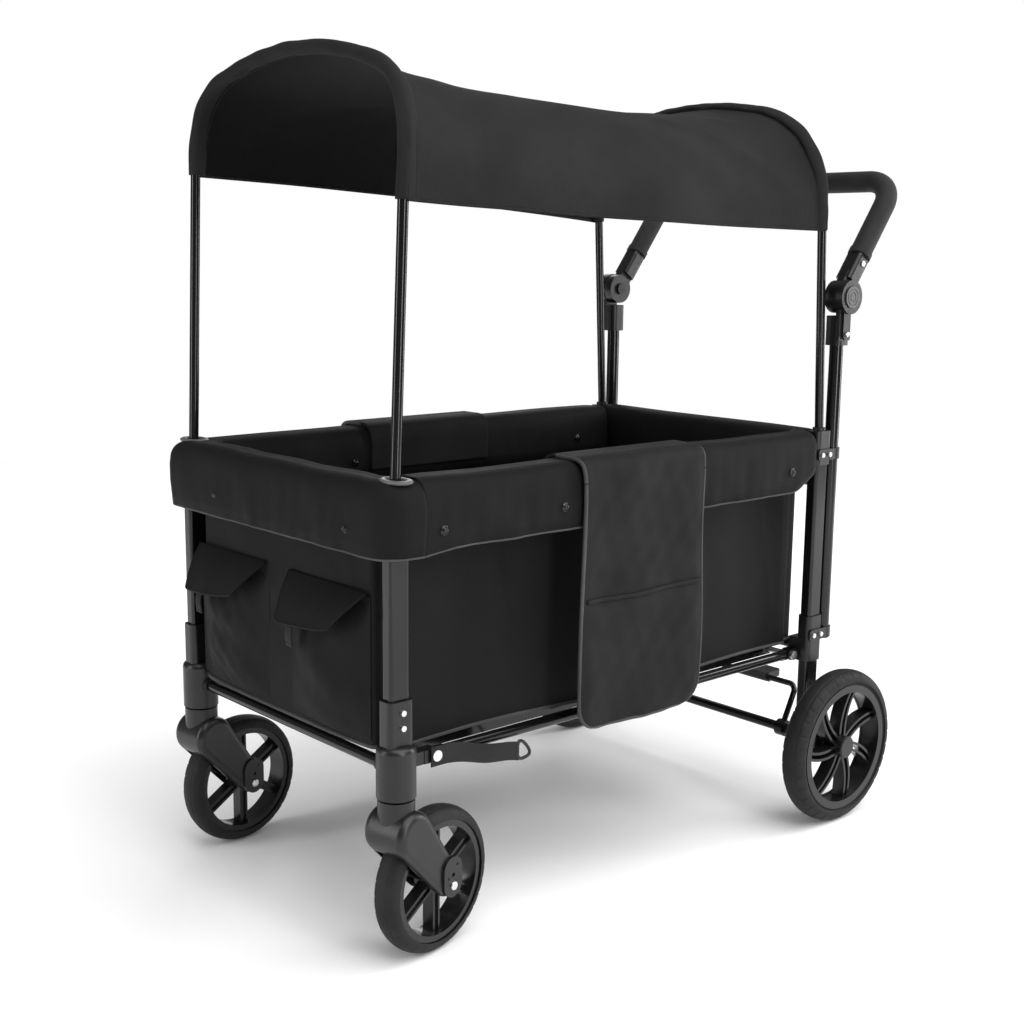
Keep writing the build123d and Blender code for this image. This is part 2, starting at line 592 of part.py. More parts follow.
def build_brake():
    """Foot bar that swings about the axle and drives a pawl beside each wheel."""
    bar_x, bar_z, bar_y = 470.0, 196.0, 178.0
    collar = disc_y(AXLE_X, REAR_WHEEL_R, -188, -204, 14)
    collar -= disc_y(AXLE_X, REAR_WHEEL_R, -180, -210, AXLE_R + 2 + RUN_FIT)
    route = [(AXLE_X + 4, -196, REAR_WHEEL_R + 11), (bar_x, -196, bar_z), (bar_x, 196, bar_z)]
    route.append((AXLE_X + 4, 196, REAR_WHEEL_R + 11))
    path = FilletPolyline(*route, radius=14)
    rod_bar = sweep(Plane(origin=path @ 0, z_dir=path % 0) * Circle(5.0), path=path)
    for part in both_sides(collar):
        rod_bar += part
    add("brake_bar", rod_bar)
    pad = box(bar_x - 8, bar_x + 34, -138, -66, bar_z - 2, bar_z + 9)
    pad = fillet(pad.edges().filter_by(Axis.Z), 9.0) + disc_y(bar_x, bar_z, -138, -66, 8)
    pad -= disc_y(bar_x, bar_z, -200, -20, 5.0)
    add("brake_pedal", pad)


# ---- push handle ----
def arm_point(distance, y):
    """Point on the handle arm's axis at a distance from the hub."""
    tilt = math.radians(ARM_TILT)
    return (HUB_X + distance * math.sin(tilt), y, HUB_Z + distance * math.cos(tilt))


def u_path(start):
    """Centre line of the U-shaped handle, from a distance along one arm to the other."""
    points = [arm_point(start, -ARM_Y), arm_point(ARM_LENGTH, -ARM_Y)]
    points += [arm_point(ARM_LENGTH, ARM_Y), arm_point(start, ARM_Y)]
    return FilletPolyline(*points, radius=52)


def u_tube(start, radius, bore):
    path = u_path(start)
    section = Plane(origin=path @ 0, z_dir=path % 0) * (Circle(radius) - Circle(bore))
    return sweep(section, path=path)


def lower_housing():
    """Outer hub disc over a column that takes the top of the lower handle tube."""
    inner = -258.6
    column = extrude(RectangleRounded(COLUMN_LONG, 30, 9), COLUMN_TOP - COLUMN_LOW)
    body = Pos(HANDLE_TUBE_X, -HANDLE_TUBE_Y, COLUMN_LOW) * column
    cheek = COLUMN_LONG / 2 - 1
    body += box(HANDLE_TUBE_X - cheek, HANDLE_TUBE_X + cheek, inner, 3 - TAB_FACE, TAB_Z - 10, HUB_Z - 10)
    body += disc_y(HANDLE_TUBE_X + 1, TAB_Z, inner, -TAB_FACE, 9)
    body += box(HANDLE_TUBE_X - 8, HANDLE_TUBE_X + 10, inner, -TAB_FACE, TAB_Z, HUB_Z - 12)
    body += disc_y(HUB_X, HUB_Z, inner, -275, HUB_R)
    body -= rod((HANDLE_TUBE_X, -HANDLE_TUBE_Y, 770), (HANDLE_TUBE_X, -HANDLE_TUBE_Y, 818), HANDLE_TUBE_R)
    body -= disc_y(HUB_X, HUB_Z, -265, -280, 18)
    body -= disc_y(HUB_X, HUB_Z, -250, -280, 4.0 + RUN_FIT)
    return body


def upper_housing():
    body = disc_y(HUB_X, HUB_Z, -240, -258, HUB_R - 1)
    direction = Plane(origin=arm_point(10, -ARM_Y), x_dir=(0, 1, 0), z_dir=arm_direction())
    body += extrude(direction * RectangleRounded(18, 30, 4), 34)
    socket = Plane(origin=arm_point(30, -ARM_Y), x_dir=(0, 1, 0), z_dir=arm_direction())
    body += extrude(socket * RectangleRounded(29, 29, 6), 48)
    body -= rod(arm_point(34, -ARM_Y), arm_point(100, -ARM_Y), HANDLE_TUBE_R)
    body -= disc_y(HUB_X, HUB_Z, -230, -270, 7.0 + RUN_FIT)
    return body


def arm_direction():
    tilt = math.radians(ARM_TILT)
    return (math.sin(tilt), 0, math.cos(tilt))


def spring_coil():
    """Compression spring behind a hub button, wound about the Y axis."""
    helix = Helix(pitch=1.5, height=3.6, radius=6.4)
    wire = sweep(Plane(origin=helix @ 0, z_dir=helix % 0) * Circle(0.4), path=helix)
    return Pos(HUB_X, -265.5, HUB_Z) * Rot(90, 0, 0) * wire


def build_handle():
    add("handle_lower_housings", both_sides(lower_housing()))
    add("handle_upper_housings", both_sides(upper_housing()))
    pin = disc_y(HUB_X, HUB_Z, -238, -258.6, 7.0) + disc_y(HUB_X, HUB_Z, -236, -239.6, 10)
    pin -= disc_y(HUB_X, HUB_Z, -250, -260, 4.0 + RUN_FIT)
    add("handle_pivots", both_sides(pin))
    add("handle_tube", u_tube(34, HANDLE_TUBE_R, HANDLE_TUBE_R - 1.5))
    add("handle_grip", u_tube(90, GRIP_R, HANDLE_TUBE_R))
    for side, sign in SIDES.items():
        cuff = rod(arm_point(80, sign * ARM_Y), arm_point(90, sign * ARM_Y), GRIP_R + 1.5)
        cuff -= rod(arm_point(79, sign * ARM_Y), arm_point(91, sign * ARM_Y), HANDLE_TUBE_R)
        add("handle_grip", cuff)
        button = disc_y(HUB_X, HUB_Z, -269.5, -277, 17.4) + disc_y(HUB_X, HUB_Z, -254.5, -269.5, 4.0)
        for outer_r in (13.5, 7.5):
            groove = disc_y(HUB_X, HUB_Z, -276.2, -278, outer_r)
            button -= groove - disc_y(HUB_X, HUB_Z, -276.2, -278, outer_r - 1.5)
        coil = spring_coil()
        if sign > 0:
            button, coil = mirror(button, about=Plane.XZ), mirror(coil, about=Plane.XZ)
        add(f"hub_button_{side}", button)
        add("button_springs", coil)
        screw_at = arm_point(66, sign * (ARM_Y + 14.5))
        add("socket_screws", disc_y(screw_at[0], screw_at[2], screw_at[1], screw_at[1] + sign * 2, 4.5))


def write_parts():
    os.makedirs("parts", exist_ok=True)
    for name, solids in nodes.items():
        shifted = [Pos(-CENTRE_X, 0, 0) * solid for solid in solids]
        shape = shifted[0] if len(shifted) == 1 else Compound(shifted)
        export_step(shape, f"parts/{name}.step")


build_rear_frame()
build_front_frame()
build_floor()
build_rails()
build_tub()
build_canopy()
build_casters()
build_rear_wheels()
build_brake()
build_handle()
build_strap()
write_parts()
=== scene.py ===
"""Looks of a folding child wagon: fabric, padding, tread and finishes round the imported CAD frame. Metres."""
import json
import math
import random

import bmesh
import bpy
import numpy as np
from mathutils import Matrix, Vector


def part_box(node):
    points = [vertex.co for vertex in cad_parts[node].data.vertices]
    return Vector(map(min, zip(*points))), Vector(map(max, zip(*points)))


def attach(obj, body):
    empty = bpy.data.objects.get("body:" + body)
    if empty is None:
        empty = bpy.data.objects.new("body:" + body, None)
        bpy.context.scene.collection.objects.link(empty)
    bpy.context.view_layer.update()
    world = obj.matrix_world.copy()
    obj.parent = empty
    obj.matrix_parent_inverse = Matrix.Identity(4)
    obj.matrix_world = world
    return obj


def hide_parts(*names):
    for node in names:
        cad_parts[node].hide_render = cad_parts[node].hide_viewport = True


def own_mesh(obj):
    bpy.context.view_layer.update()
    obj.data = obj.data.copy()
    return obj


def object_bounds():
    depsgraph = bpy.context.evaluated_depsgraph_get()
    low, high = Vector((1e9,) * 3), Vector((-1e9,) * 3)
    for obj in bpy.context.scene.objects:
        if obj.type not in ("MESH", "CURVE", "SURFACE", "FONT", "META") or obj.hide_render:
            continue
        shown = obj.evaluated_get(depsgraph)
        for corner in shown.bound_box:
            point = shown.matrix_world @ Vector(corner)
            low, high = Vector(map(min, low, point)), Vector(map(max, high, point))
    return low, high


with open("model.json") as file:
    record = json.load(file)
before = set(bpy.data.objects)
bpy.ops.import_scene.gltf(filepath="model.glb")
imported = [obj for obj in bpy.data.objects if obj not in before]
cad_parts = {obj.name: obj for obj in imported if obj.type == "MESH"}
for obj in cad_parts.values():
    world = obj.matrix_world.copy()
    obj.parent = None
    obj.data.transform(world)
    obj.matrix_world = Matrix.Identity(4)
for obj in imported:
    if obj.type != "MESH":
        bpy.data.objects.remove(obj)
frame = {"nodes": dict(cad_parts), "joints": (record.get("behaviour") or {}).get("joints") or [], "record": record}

CAD_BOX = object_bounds()

# ---- places read from the frame ----
RIGHT, LEFT = -1.0, 1.0
SIDES = {"right": RIGHT, "left": LEFT}


def mid(node, axis):
    """Middle of a node's box along one axis."""
    low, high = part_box(node)
    return (low[axis] + high[axis]) / 2


FRONT_X = mid("front_posts", 0)
REAR_X = mid("rear_posts", 0)
POST_RADIUS = 0.010
POST_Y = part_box("rear_posts")[1].y - POST_RADIUS
RIM_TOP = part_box("side_rim_covers")[1].z


# ---- camera, floor and lights ----
def camera():
    yaw, pitch, roll = math.radians(41.63), math.radians(-10.23), math.radians(0.65)
    place = Vector((-1.5647, -1.6543, 0.9240))
    ahead = Vector((math.sin(yaw) * math.cos(pitch), math.cos(yaw) * math.cos(pitch), math.sin(pitch)))
    flat_right = Vector((math.cos(yaw), -math.sin(yaw), 0))
    flat_up = flat_right.cross(ahead)
    right = math.cos(roll) * flat_right + math.sin(roll) * flat_up
    up = right.cross(ahead)
    data = bpy.data.cameras.new("camera")
    data.sensor_width = 36
    data.lens = 50.64
    eye = bpy.data.objects.new("camera", data)
    bpy.context.scene.collection.objects.link(eye)
    turn = Matrix((right, up, -ahead)).transposed().to_4x4()
    eye.matrix_world = Matrix.Translation(place) @ turn
    bpy.context.scene.camera = eye


def soft_box(name, place, aim_height, size, power):
    """Rectangular lamp that faces a point over the origin and isn't seen itself."""
    data = bpy.data.lights.new(name, "AREA")
    data.shape = "RECTANGLE"
    data.size, data.size_y = size
    data.energy = power
    lamp = bpy.data.objects.new(name, data)
    bpy.context.scene.collection.objects.link(lamp)
    lamp.location = place
    aim = Vector((0, 0, aim_height)) - Vector(place)
    lamp.rotation_euler = aim.to_track_quat("-Z", "Y").to_euler()
    lamp.visible_camera = False


def studio():
    """White surroundings that light the wagon only a little, a wide sun, four strips and the floor."""
    scene = bpy.context.scene
    scene.view_settings.view_transform = "Standard"
    world = bpy.data.worlds.new("studio")
    scene.world = world
    world.use_nodes = True
    sky = world.node_tree
    backdrop = sky.nodes["Background"]
    backdrop.inputs["Color"].default_value = (1, 1, 1, 1)
    backdrop.inputs["Strength"].default_value = 1.0
    fill = sky.nodes.new("ShaderNodeBackground")
    fill.inputs["Color"].default_value = (1, 1, 1, 1)
    fill.inputs["Strength"].default_value = 0.16
    seen = sky.nodes.new("ShaderNodeLightPath").outputs["Is Camera Ray"]
    choice = sky.nodes.new("ShaderNodeMixShader")
    sky.links.new(seen, choice.inputs["Fac"])
    sky.links.new(fill.outputs["Background"], choice.inputs[1])
    sky.links.new(backdrop.outputs["Background"], choice.inputs[2])
    sky.links.new(choice.outputs["Shader"], sky.nodes["World Output"].inputs["Surface"])
    data = bpy.data.lights.new("overhead", "SUN")
    data.energy = 3.1
    data.angle = math.radians(70)
    lamp = bpy.data.objects.new("overhead", data)
    scene.collection.objects.link(lamp)
    lamp.rotation_euler = (math.radians(24), math.radians(6), 0)
    soft_box("left_strip", (-3.0, 0.9, 1.3), 0.7, (0.7, 2.4), 34)
    soft_box("near_strip", (-0.4, -3.5, 1.4), 0.6, (0.7, 2.6), 50)
    soft_box("side_strip", (3.3, -1.5, 1.4), 0.6, (0.9, 2.6), 60)
    soft_box("back_strip", (2.0, 2.6, 1.6), 0.7, (0.9, 2.4), 20)
    ground, reach = CAD_BOX[0][2], 4.4
    mesh = bpy.data.meshes.new("floor")
    corners = [(x * reach, y * reach, ground) for x, y in ((-1, -1), (1, -1), (1, 1), (-1, 1))]
    mesh.from_pydata(corners, [], [(0, 1, 2, 3)])
    floor = bpy.data.objects.new("floor", mesh)
    scene.collection.objects.link(floor)
    finish = plain("floor_white", (0.93, 0.93, 0.93), 0.16)
    finish.node_tree.nodes["Principled BSDF"].inputs["Specular IOR Level"].default_value = 0.0
    mesh.materials.append(finish)


# ---- materials ----
def plain(name, colour, roughness):
    material = bpy.data.materials.new(name)
    material.use_nodes = True
    shader = material.node_tree.nodes["Principled BSDF"]
    shader.inputs["Base Color"].default_value = (*colour, 1)
    shader.inputs["Roughness"].default_value = roughness
    return material


class Recipe:
    """A principled material that grows by named layers."""

    def __init__(self, name, colour, roughness):
        self.material = plain(name, colour, roughness)
        self.tree = self.material.node_tree
        self.shader = self.tree.nodes["Principled BSDF"]
        self.place = self.tree.nodes.new("ShaderNodeTexCoord").outputs["Object"]
        self.bump = None

    def set(self, **values):
        for socket, value in values.items():
            self.shader.inputs[socket.replace("_", " ")].default_value = value
        return self

    def noise(self, scale, detail=3.0):
        node = self.tree.nodes.new("ShaderNodeTexNoise")
        node.inputs["Scale"].default_value = scale
        node.inputs["Detail"].default_value = detail
        self.tree.links.new(self.place, node.inputs["Vector"])
        return node.outputs["Fac"]

    def cells(self, scale):
        node = self.tree.nodes.new("ShaderNodeTexVoronoi")
        node.inputs["Scale"].default_value = scale
        self.tree.links.new(self.place, node.inputs["Vector"])
        return node.outputs["Distance"]

    def bands(self, scale, direction, wobble=0.0):
        node = self.tree.nodes.new("ShaderNodeTexWave")
        node.bands_direction = direction
        node.inputs["Scale"].default_value = scale
        node.inputs["Distortion"].default_value = wobble
        self.tree.links.new(self.place, node.inputs["Vector"])
        return node.outputs["Fac"]

    def product(self, first, second):
        node = self.tree.nodes.new("ShaderNodeMath")
        node.operation = "MULTIPLY"
        self.tree.links.new(first, node.inputs[0])
        self.tree.links.new(second, node.inputs[1])
        return node.outputs[0]

    def spread(self, value, low, high):
        node = self.tree.nodes.new("ShaderNodeMapRange")
        self.tree.links.new(value, node.inputs["Value"])
        node.inputs["To Min"].default_value = low
        node.inputs["To Max"].default_value = high
        return node.outputs["Result"]

    def vary_colour(self, value, dark, light):
        ramp = self.tree.nodes.new("ShaderNodeValToRGB")
        ramp.color_ramp.elements[0].position = 0.3
        ramp.color_ramp.elements[1].position = 0.7
        ramp.color_ramp.elements[0].color = (*dark, 1)
        ramp.color_ramp.elements[1].color = (*light, 1)
        self.tree.links.new(value, ramp.inputs["Fac"])
        self.tree.links.new(ramp.outputs["Color"], self.shader.inputs["Base Color"])
        return self

    def vary_roughness(self, value, low, high):
        self.tree.links.new(self.spread(value, low, high), self.shader.inputs["Roughness"])
        return self

    def raise_by(self, value, height, strength=1.0):
        node = self.tree.nodes.new("ShaderNodeBump")
        node.inputs["Distance"].default_value = height
        node.inputs["Strength"].default_value = strength
        self.tree.links.new(value, node.inputs["Height"])
        if self.bump:
            self.tree.links.new(self.bump, node.inputs["Normal"])
        self.bump = node.outputs["Normal"]
        self.tree.links.new(self.bump, self.shader.inputs["Normal"])
        return self


def grey(value):
    """Grey with the faintest blue in it."""
    return (value, value, value + value * 0.02)


def gloss_paint():
    """Powder-coated tube."""
    coat = Recipe("gloss_paint", grey(0.005), 0.14)
    coat.set(Coat_Weight=0.1, Coat_Roughness=0.05, Specular_IOR_Level=0.35)
    coat.vary_colour(coat.noise(9), grey(0.004), grey(0.007))
    coat.vary_roughness(coat.noise(60, 5), 0.11, 0.20)
    return coat.raise_by(coat.noise(420, 1), 0.00001, 0.2).material


def satin_plastic():
    """Finely grained moulded plastic."""
    shell = Recipe("satin_plastic", grey(0.007), 0.32).set(Specular_IOR_Level=0.45)
    shell.vary_colour(shell.noise(14), grey(0.005), grey(0.009))
    shell.vary_roughness(shell.noise(40, 4), 0.28, 0.42)
    return shell.raise_by(shell.cells(1500), 0.00006, 0.6).material


def button_plastic():
    shell = Recipe("button_plastic", grey(0.05), 0.38)
    shell.vary_colour(shell.noise(40), grey(0.045), grey(0.06))
    return shell.raise_by(shell.cells(1600), 0.00005, 0.5).material


def rim_gloss():
    shell = Recipe("rim_gloss", grey(0.009), 0.2).set(Specular_IOR_Level=0.4)
    shell.vary_colour(shell.noise(18), grey(0.007), grey(0.012))
    shell.vary_roughness(shell.noise(50, 4), 0.16, 0.3)
    return shell.raise_by(shell.cells(900), 0.00004, 0.5).material


def zinc():
    steel = Recipe("bright_zinc", (0.74, 0.74, 0.75), 0.28).set(Metallic=1.0)
    steel.vary_colour(steel.noise(200), (0.66, 0.66, 0.67), (0.82, 0.82, 0.83))
    steel.vary_roughness(steel.noise(500, 4), 0.2, 0.42)
    return steel.raise_by(steel.noise(1500, 2), 0.00004, 0.6).material


def black_steel():
    """Blackened steel of pins and bolts."""
    steel = Recipe("black_steel", grey(0.03), 0.35).set(Metallic=0.8)
    steel.vary_colour(steel.noise(220), grey(0.022), grey(0.045))
    steel.vary_roughness(steel.noise(500, 4), 0.28, 0.45)
    return steel.raise_by(steel.noise(1300, 2), 0.00004, 0.6).material


def snap_metal():
    stud = Recipe("snap_metal", (0.03, 0.03, 0.032), 0.2).set(Metallic=0.9)
    stud.vary_colour(stud.noise(300), (0.02, 0.02, 0.022), (0.045, 0.045, 0.047))
    return stud.vary_roughness(stud.noise(700, 3), 0.16, 0.34).material


def grommet_plastic():
    ring = Recipe("grommet", grey(0.10), 0.4).set(Specular_IOR_Level=0.35)
    ring.vary_colour(ring.noise(60), grey(0.085), grey(0.12))
    return ring.raise_by(ring.cells(1400), 0.00005, 0.5).material


def tyre_rubber():
    rubber = Recipe("tyre_rubber", grey(0.013), 0.62).set(Specular_IOR_Level=0.2)
    rubber.vary_colour(rubber.noise(22, 5), grey(0.010), grey(0.018))
    rubber.vary_roughness(rubber.noise(35, 4), 0.5, 0.74)
    return rubber.raise_by(rubber.cells(1100), 0.00010, 0.7).material


def grip_foam():
    foam = Recipe("grip_foam", grey(0.018), 0.7)
    foam.set(Sheen_Weight=0.05, Sheen_Roughness=0.5, Specular_IOR_Level=0.2)
    foam.vary_colour(foam.noise(30, 4), grey(0.014), grey(0.022))
    return foam.raise_by(foam.cells(1300), 0.00016, 0.8).material


def cloth(name, value, sheen, weave, roughness=0.85):
    """Woven fabric: crossed threads, a slubby tone and soft cloudiness."""
    fabric = Recipe(name, grey(value), roughness)
    fabric.set(Sheen_Weight=sheen, Sheen_Roughness=0.4, Specular_IOR_Level=0.14)
    tone = fabric.product(fabric.noise(2200, 2), fabric.noise(7, 4))
    fabric.vary_colour(fabric.spread(tone, -0.1, 1.7), grey(value * 0.72), grey(value * 1.35))
    threads = fabric.product(fabric.bands(weave, "X", 0.4), fabric.bands(weave, "Z", 0.4))
    fabric.raise_by(threads, 0.00022, 0.55)
    cross_threads = fabric.product(fabric.bands(weave, "Y", 0.4), fabric.bands(weave, "Z", 0.4))
    fabric.raise_by(cross_threads, 0.00018, 0.5)
    return fabric.raise_by(fabric.noise(26, 5), 0.0016, 0.35).material


def webbing():
    """Narrow woven tape with ribs across it."""
    tape = Recipe("webbing", grey(0.010), 0.75).set(Sheen_Weight=0.05, Specular_IOR_Level=0.15)
    tape.vary_colour(tape.noise(900, 3), grey(0.010), grey(0.022))
    return tape.raise_by(tape.bands(420, "X", 0.6), 0.0003, 0.8).material


MATERIALS = {}


def make_materials():
    MATERIALS.update(
        gloss_tube=gloss_paint(),
        bracket_plastic=satin_plastic(),
        hub_button_plastic=button_plastic(),
        bright_steel=zinc(),
        black_steel=black_steel(),
        tub_fabric=cloth("tub_fabric", 0.0085, 0.005, 260, 0.66),
        rim_fabric=cloth("rim_fabric", 0.0065, 0.01, 260, 0.7),
        organiser_fabric=cloth("organiser_fabric", 0.0135, 0.005, 260, 0.7),
        canopy_fabric=cloth("canopy_fabric", 0.0195, 0.01, 320),
        # Painted shade: a darker copy of the canopy fabric for the inner faces of the canopy sheet. It stands in
        # for the shade under the canopy.
        canopy_lining=cloth("canopy_lining", 0.007, 0.005, 320),
        mat_fabric=cloth("mat_fabric", 0.008, 0.01, 260),
        webbing=webbing(),
        tyre_rubber=tyre_rubber(),
        rim_plastic=rim_gloss(),
        grip_foam=grip_foam(),
        piping=cloth("piping", 0.070, 0.05, 500, 0.6),
        grommet=grommet_plastic(),
        snap=snap_metal(),
    )


def dress_frame():
    """Every CAD node takes the finish of its material slot."""
    slots = {part["node"]: part["material_slot"] for part in frame["record"]["subparts"]}
    for name, node in frame["nodes"].items():
        node.data.materials.clear()
        node.data.materials.append(MATERIALS[slots[name]])


# ---- mesh helpers ----
def ripple(a, b, seed, wavelength, height, waves=7):
    """Soft random undulation over two coordinates, the same each run."""
    draw = random.Random(seed)
    total = np.zeros(np.broadcast(a, b).shape)
    for _ in range(waves):
        heading = draw.uniform(0, math.tau)
        pitch = math.tau / (wavelength * draw.uniform(0.6, 1.7))
        phase = draw.uniform(0, math.tau)
        total = total + np.sin(pitch * (math.cos(heading) * a + math.sin(heading) * b) + phase)
    return height * total / waves ** 0.5


def crease(a, b, start, end, width, height):
    """Raised fold between two points that fades towards both ends."""
    run = np.array(end, float) - np.array(start, float)
    length = np.linalg.norm(run)
    run = run / length
    along = ((a - start[0]) * run[0] + (b - start[1]) * run[1]) / length
    across = (a - start[0]) * -run[1] + (b - start[1]) * run[0]
    fade = np.clip(np.sin(np.pi * np.clip(along, 0, 1)), 0, 1)
    return height * fade * np.exp(-((across / width) ** 2))


def make_piece(name, points, faces, finish):
    mesh = bpy.data.meshes.new(name)
    mesh.from_pydata([tuple(p) for p in points], [], faces)
    mesh.validate()
    tidy = bmesh.new()
    tidy.from_mesh(mesh)
    bmesh.ops.recalc_face_normals(tidy, faces=tidy.faces)
    tidy.to_mesh(mesh)
    tidy.free()
    mesh.polygons.foreach_set("use_smooth", [True] * len(mesh.polygons))
    mesh.materials.append(MATERIALS[finish])
    piece = bpy.data.objects.new(name, mesh)
    bpy.context.scene.collection.objects.link(piece)
    return piece


def grid_faces(rows, columns, first=0, round_rows=False, joined_ends=False):
    """Quads of a grid of points; each row may be a ring, and the last row may join the first."""
    faces = []
    for i in range(rows if joined_ends else rows - 1):
        a, b = first + i * columns, first + (i + 1) % rows * columns
        for j in range(columns if round_rows else columns - 1):
            k = (j + 1) % columns
            faces.append((a + j, a + k, b + k, b + j))
    return faces


def end_caps(rows, columns):
    """The two faces that close a tube of rings."""
    return [tuple(range(columns)), tuple((rows - 1) * columns + j for j in range(columns))]


def grid_border(rows, columns):
    """Point numbers round the edge of a grid, in order."""
    border = list(range(columns))
    border += [i * columns + columns - 1 for i in range(1, rows)]
    border += [(rows - 1) * columns + j for j in range(columns - 2, -1, -1)]
    return border + [i * columns for i in range(rows - 2, 0, -1)]


def two_layers(rows, columns):
    """Faces of two equal grids, one over the other, joined round their edge."""
    count = rows * columns
    faces = grid_faces(rows, columns) + [f[::-1] for f in grid_faces(rows, columns, count)]
    border = grid_border(rows, columns)
    after = border[1:] + border[:1]
    return faces + [(a, a + count, b + count, b) for a, b in zip(border, after)]


def skin(name, grid, thick, finish):
    """Closed sheet of cloth, half its thickness on each side of a grid of points."""
    along, across = np.gradient(grid, axis=0), np.gradient(grid, axis=1)
    normal = np.cross(along, across)
    normal /= np.maximum(np.linalg.norm(normal, axis=2, keepdims=True), 1e-12)
    front = (grid + normal * thick / 2).reshape(-1, 3)
    rear = (grid - normal * thick / 2).reshape(-1, 3)
    return make_piece(name, np.vstack([front, rear]), two_layers(*grid.shape[:2]), finish)


def resample(path, count):
    """Evenly spaced points along a polyline."""
    path = np.array(path, float)
    step = np.concatenate([[0], np.cumsum(np.linalg.norm(np.diff(path, axis=0), axis=1))])
    at = np.linspace(0, step[-1], count)
    return np.stack([np.interp(at, step, path[:, k]) for k in range(path.shape[1])], axis=1)


def smooth_path(path, count, passes=3):
    """Corner-cut copy of a polyline, evenly spaced."""
    path = np.array(path, float)
    for _ in range(passes):
        near = path[:-1] * 0.75 + path[1:] * 0.25
        far = path[:-1] * 0.25 + path[1:] * 0.75
        cut = np.stack([near, far], axis=1).reshape(-1, path.shape[1])
        path = np.vstack([path[:1], cut, path[-1:]])
    return resample(path, count)


def tube(name, path, radius, finish, sides=10, flat=1.0, closed=False):
    """Cord of fabric or plastic along a path; flat scales its height against its width."""
    path = np.array(path, float)
    count = len(path)
    if closed:
        ahead = np.roll(path, -1, axis=0) - np.roll(path, 1, axis=0)
    else:
        ahead = np.gradient(path, axis=0)
    ahead /= np.maximum(np.linalg.norm(ahead, axis=1, keepdims=True), 1e-12)
    side = np.cross(ahead, np.array((0.0, 0.0, 1.0)))
    weak = np.linalg.norm(side, axis=1) < 0.05
    side[weak] = np.cross(ahead[weak], np.array((0.3, 1.0, 0.2)))
    side /= np.linalg.norm(side, axis=1, keepdims=True)
    over = np.cross(side, ahead)
    turn = np.linspace(0, math.tau, sides, endpoint=False)[None, :, None]
    ring = path[:, None, :] + radius * (np.cos(turn) * side[:, None] + flat * np.sin(turn) * over[:, None])
    faces = grid_faces(count, sides, round_rows=True, joined_ends=closed)
    if not closed:
        faces += end_caps(count, sides)
    return make_piece(name, ring.reshape(-1, 3), faces, finish)


def turned(name, profile, centre, axis, finish, steps):
    """Body of revolution: profile is (distance along the axis, radius)."""
    axis = Vector(axis).normalized()
    first = axis.orthogonal().normalized()
    second = axis.cross(first)
    points = []
    for along, radius in profile:
        for k in range(steps):
            angle = math.tau * k / steps
            ring = first * math.cos(angle) + second * math.sin(angle)
            points.append(Vector(centre) + axis * along + ring * radius)
    faces = grid_faces(len(profile), steps, round_rows=True) + end_caps(len(profile), steps)
    return make_piece(name, points, faces, finish)


def on_body(piece, body):
    """The piece moves with a body."""
    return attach(piece, body)


def gathers(piece, front_x, rear_x, slot):
    """The piece moves with the rear frame and gets a mesh of its own."""
    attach(piece, "rear_frame")
    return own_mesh(piece)


# ---- canopy ----
HOOP_RADIUS = 0.007
HOOPS = {
    "front": {
        "x": FRONT_X, "top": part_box("front_canopy_hoop")[1].z - HOOP_RADIUS,
        "bend": 0.092, "crown": 0.598, "lean": math.tan(math.radians(2.2)),
    },
    "rear": {
        "x": REAR_X, "top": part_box("rear_canopy_hoop")[1].z - HOOP_RADIUS,
        "bend": 0.136, "crown": 0.676, "lean": -math.tan(math.radians(3.2)),
    },
}
GIRTH = 0.80
CANOPY_SPAN = (-0.4960, 0.3290)
CLOTH_OFF_HOOP = 0.0088
SLEEVE_RADIUS = 0.0094
SEAM_COLUMN = 4


def hem(t, side):
    """Height of the canopy's lower edge from the front hoop (t = 0) to the rear one (t = 1)."""
    if side == RIGHT:
        return 0.9847 - 0.031 * t + 0.010 * t ** 2
    return 1.028 - 0.033 * t - 0.015 * t ** 2


def arch(share, half, top, bend, crown, t):
    """Point (y, z) at a share of the way over an arch, from its right hem to its left hem.

    An arch is two uprights, two corner bends and a crown of a much larger radius between them.
    """
    bend_y = half - bend
    crown_z = top - crown
    bend_z = crown_z + np.sqrt((crown - bend) ** 2 - bend_y ** 2)
    join = np.arctan2(bend_z - crown_z, bend_y)
    mirrored = share > 0.5
    low = np.where(mirrored, hem(t, LEFT), hem(t, RIGHT))
    upright = bend_z - low
    half_run = upright + bend * join + crown * (math.pi / 2 - join)
    run = np.where(mirrored, 1 - share, share) * 2 * half_run
    on_bend = np.clip((run - upright) / bend, 0, join)
    on_crown = join + np.clip((run - upright - bend * join) / crown, 0, None)
    over = run > upright + bend * join
    y = np.where(over, -crown * np.cos(on_crown), -bend_y - bend * np.cos(on_bend))
    z = np.where(over, crown_z + crown * np.sin(on_crown), bend_z + bend * np.sin(on_bend))
    y = np.where(run < upright, -half, y)
    z = np.where(run < upright, low + run, z)
    return np.where(mirrored, -y, y), z


def lean_x(which, z):
    """Where a hoop, which leans outwards from the rim up, is at a height."""
    hoop = HOOPS[which]
    return hoop["x"] + hoop["lean"] * (z - RIM_TOP)


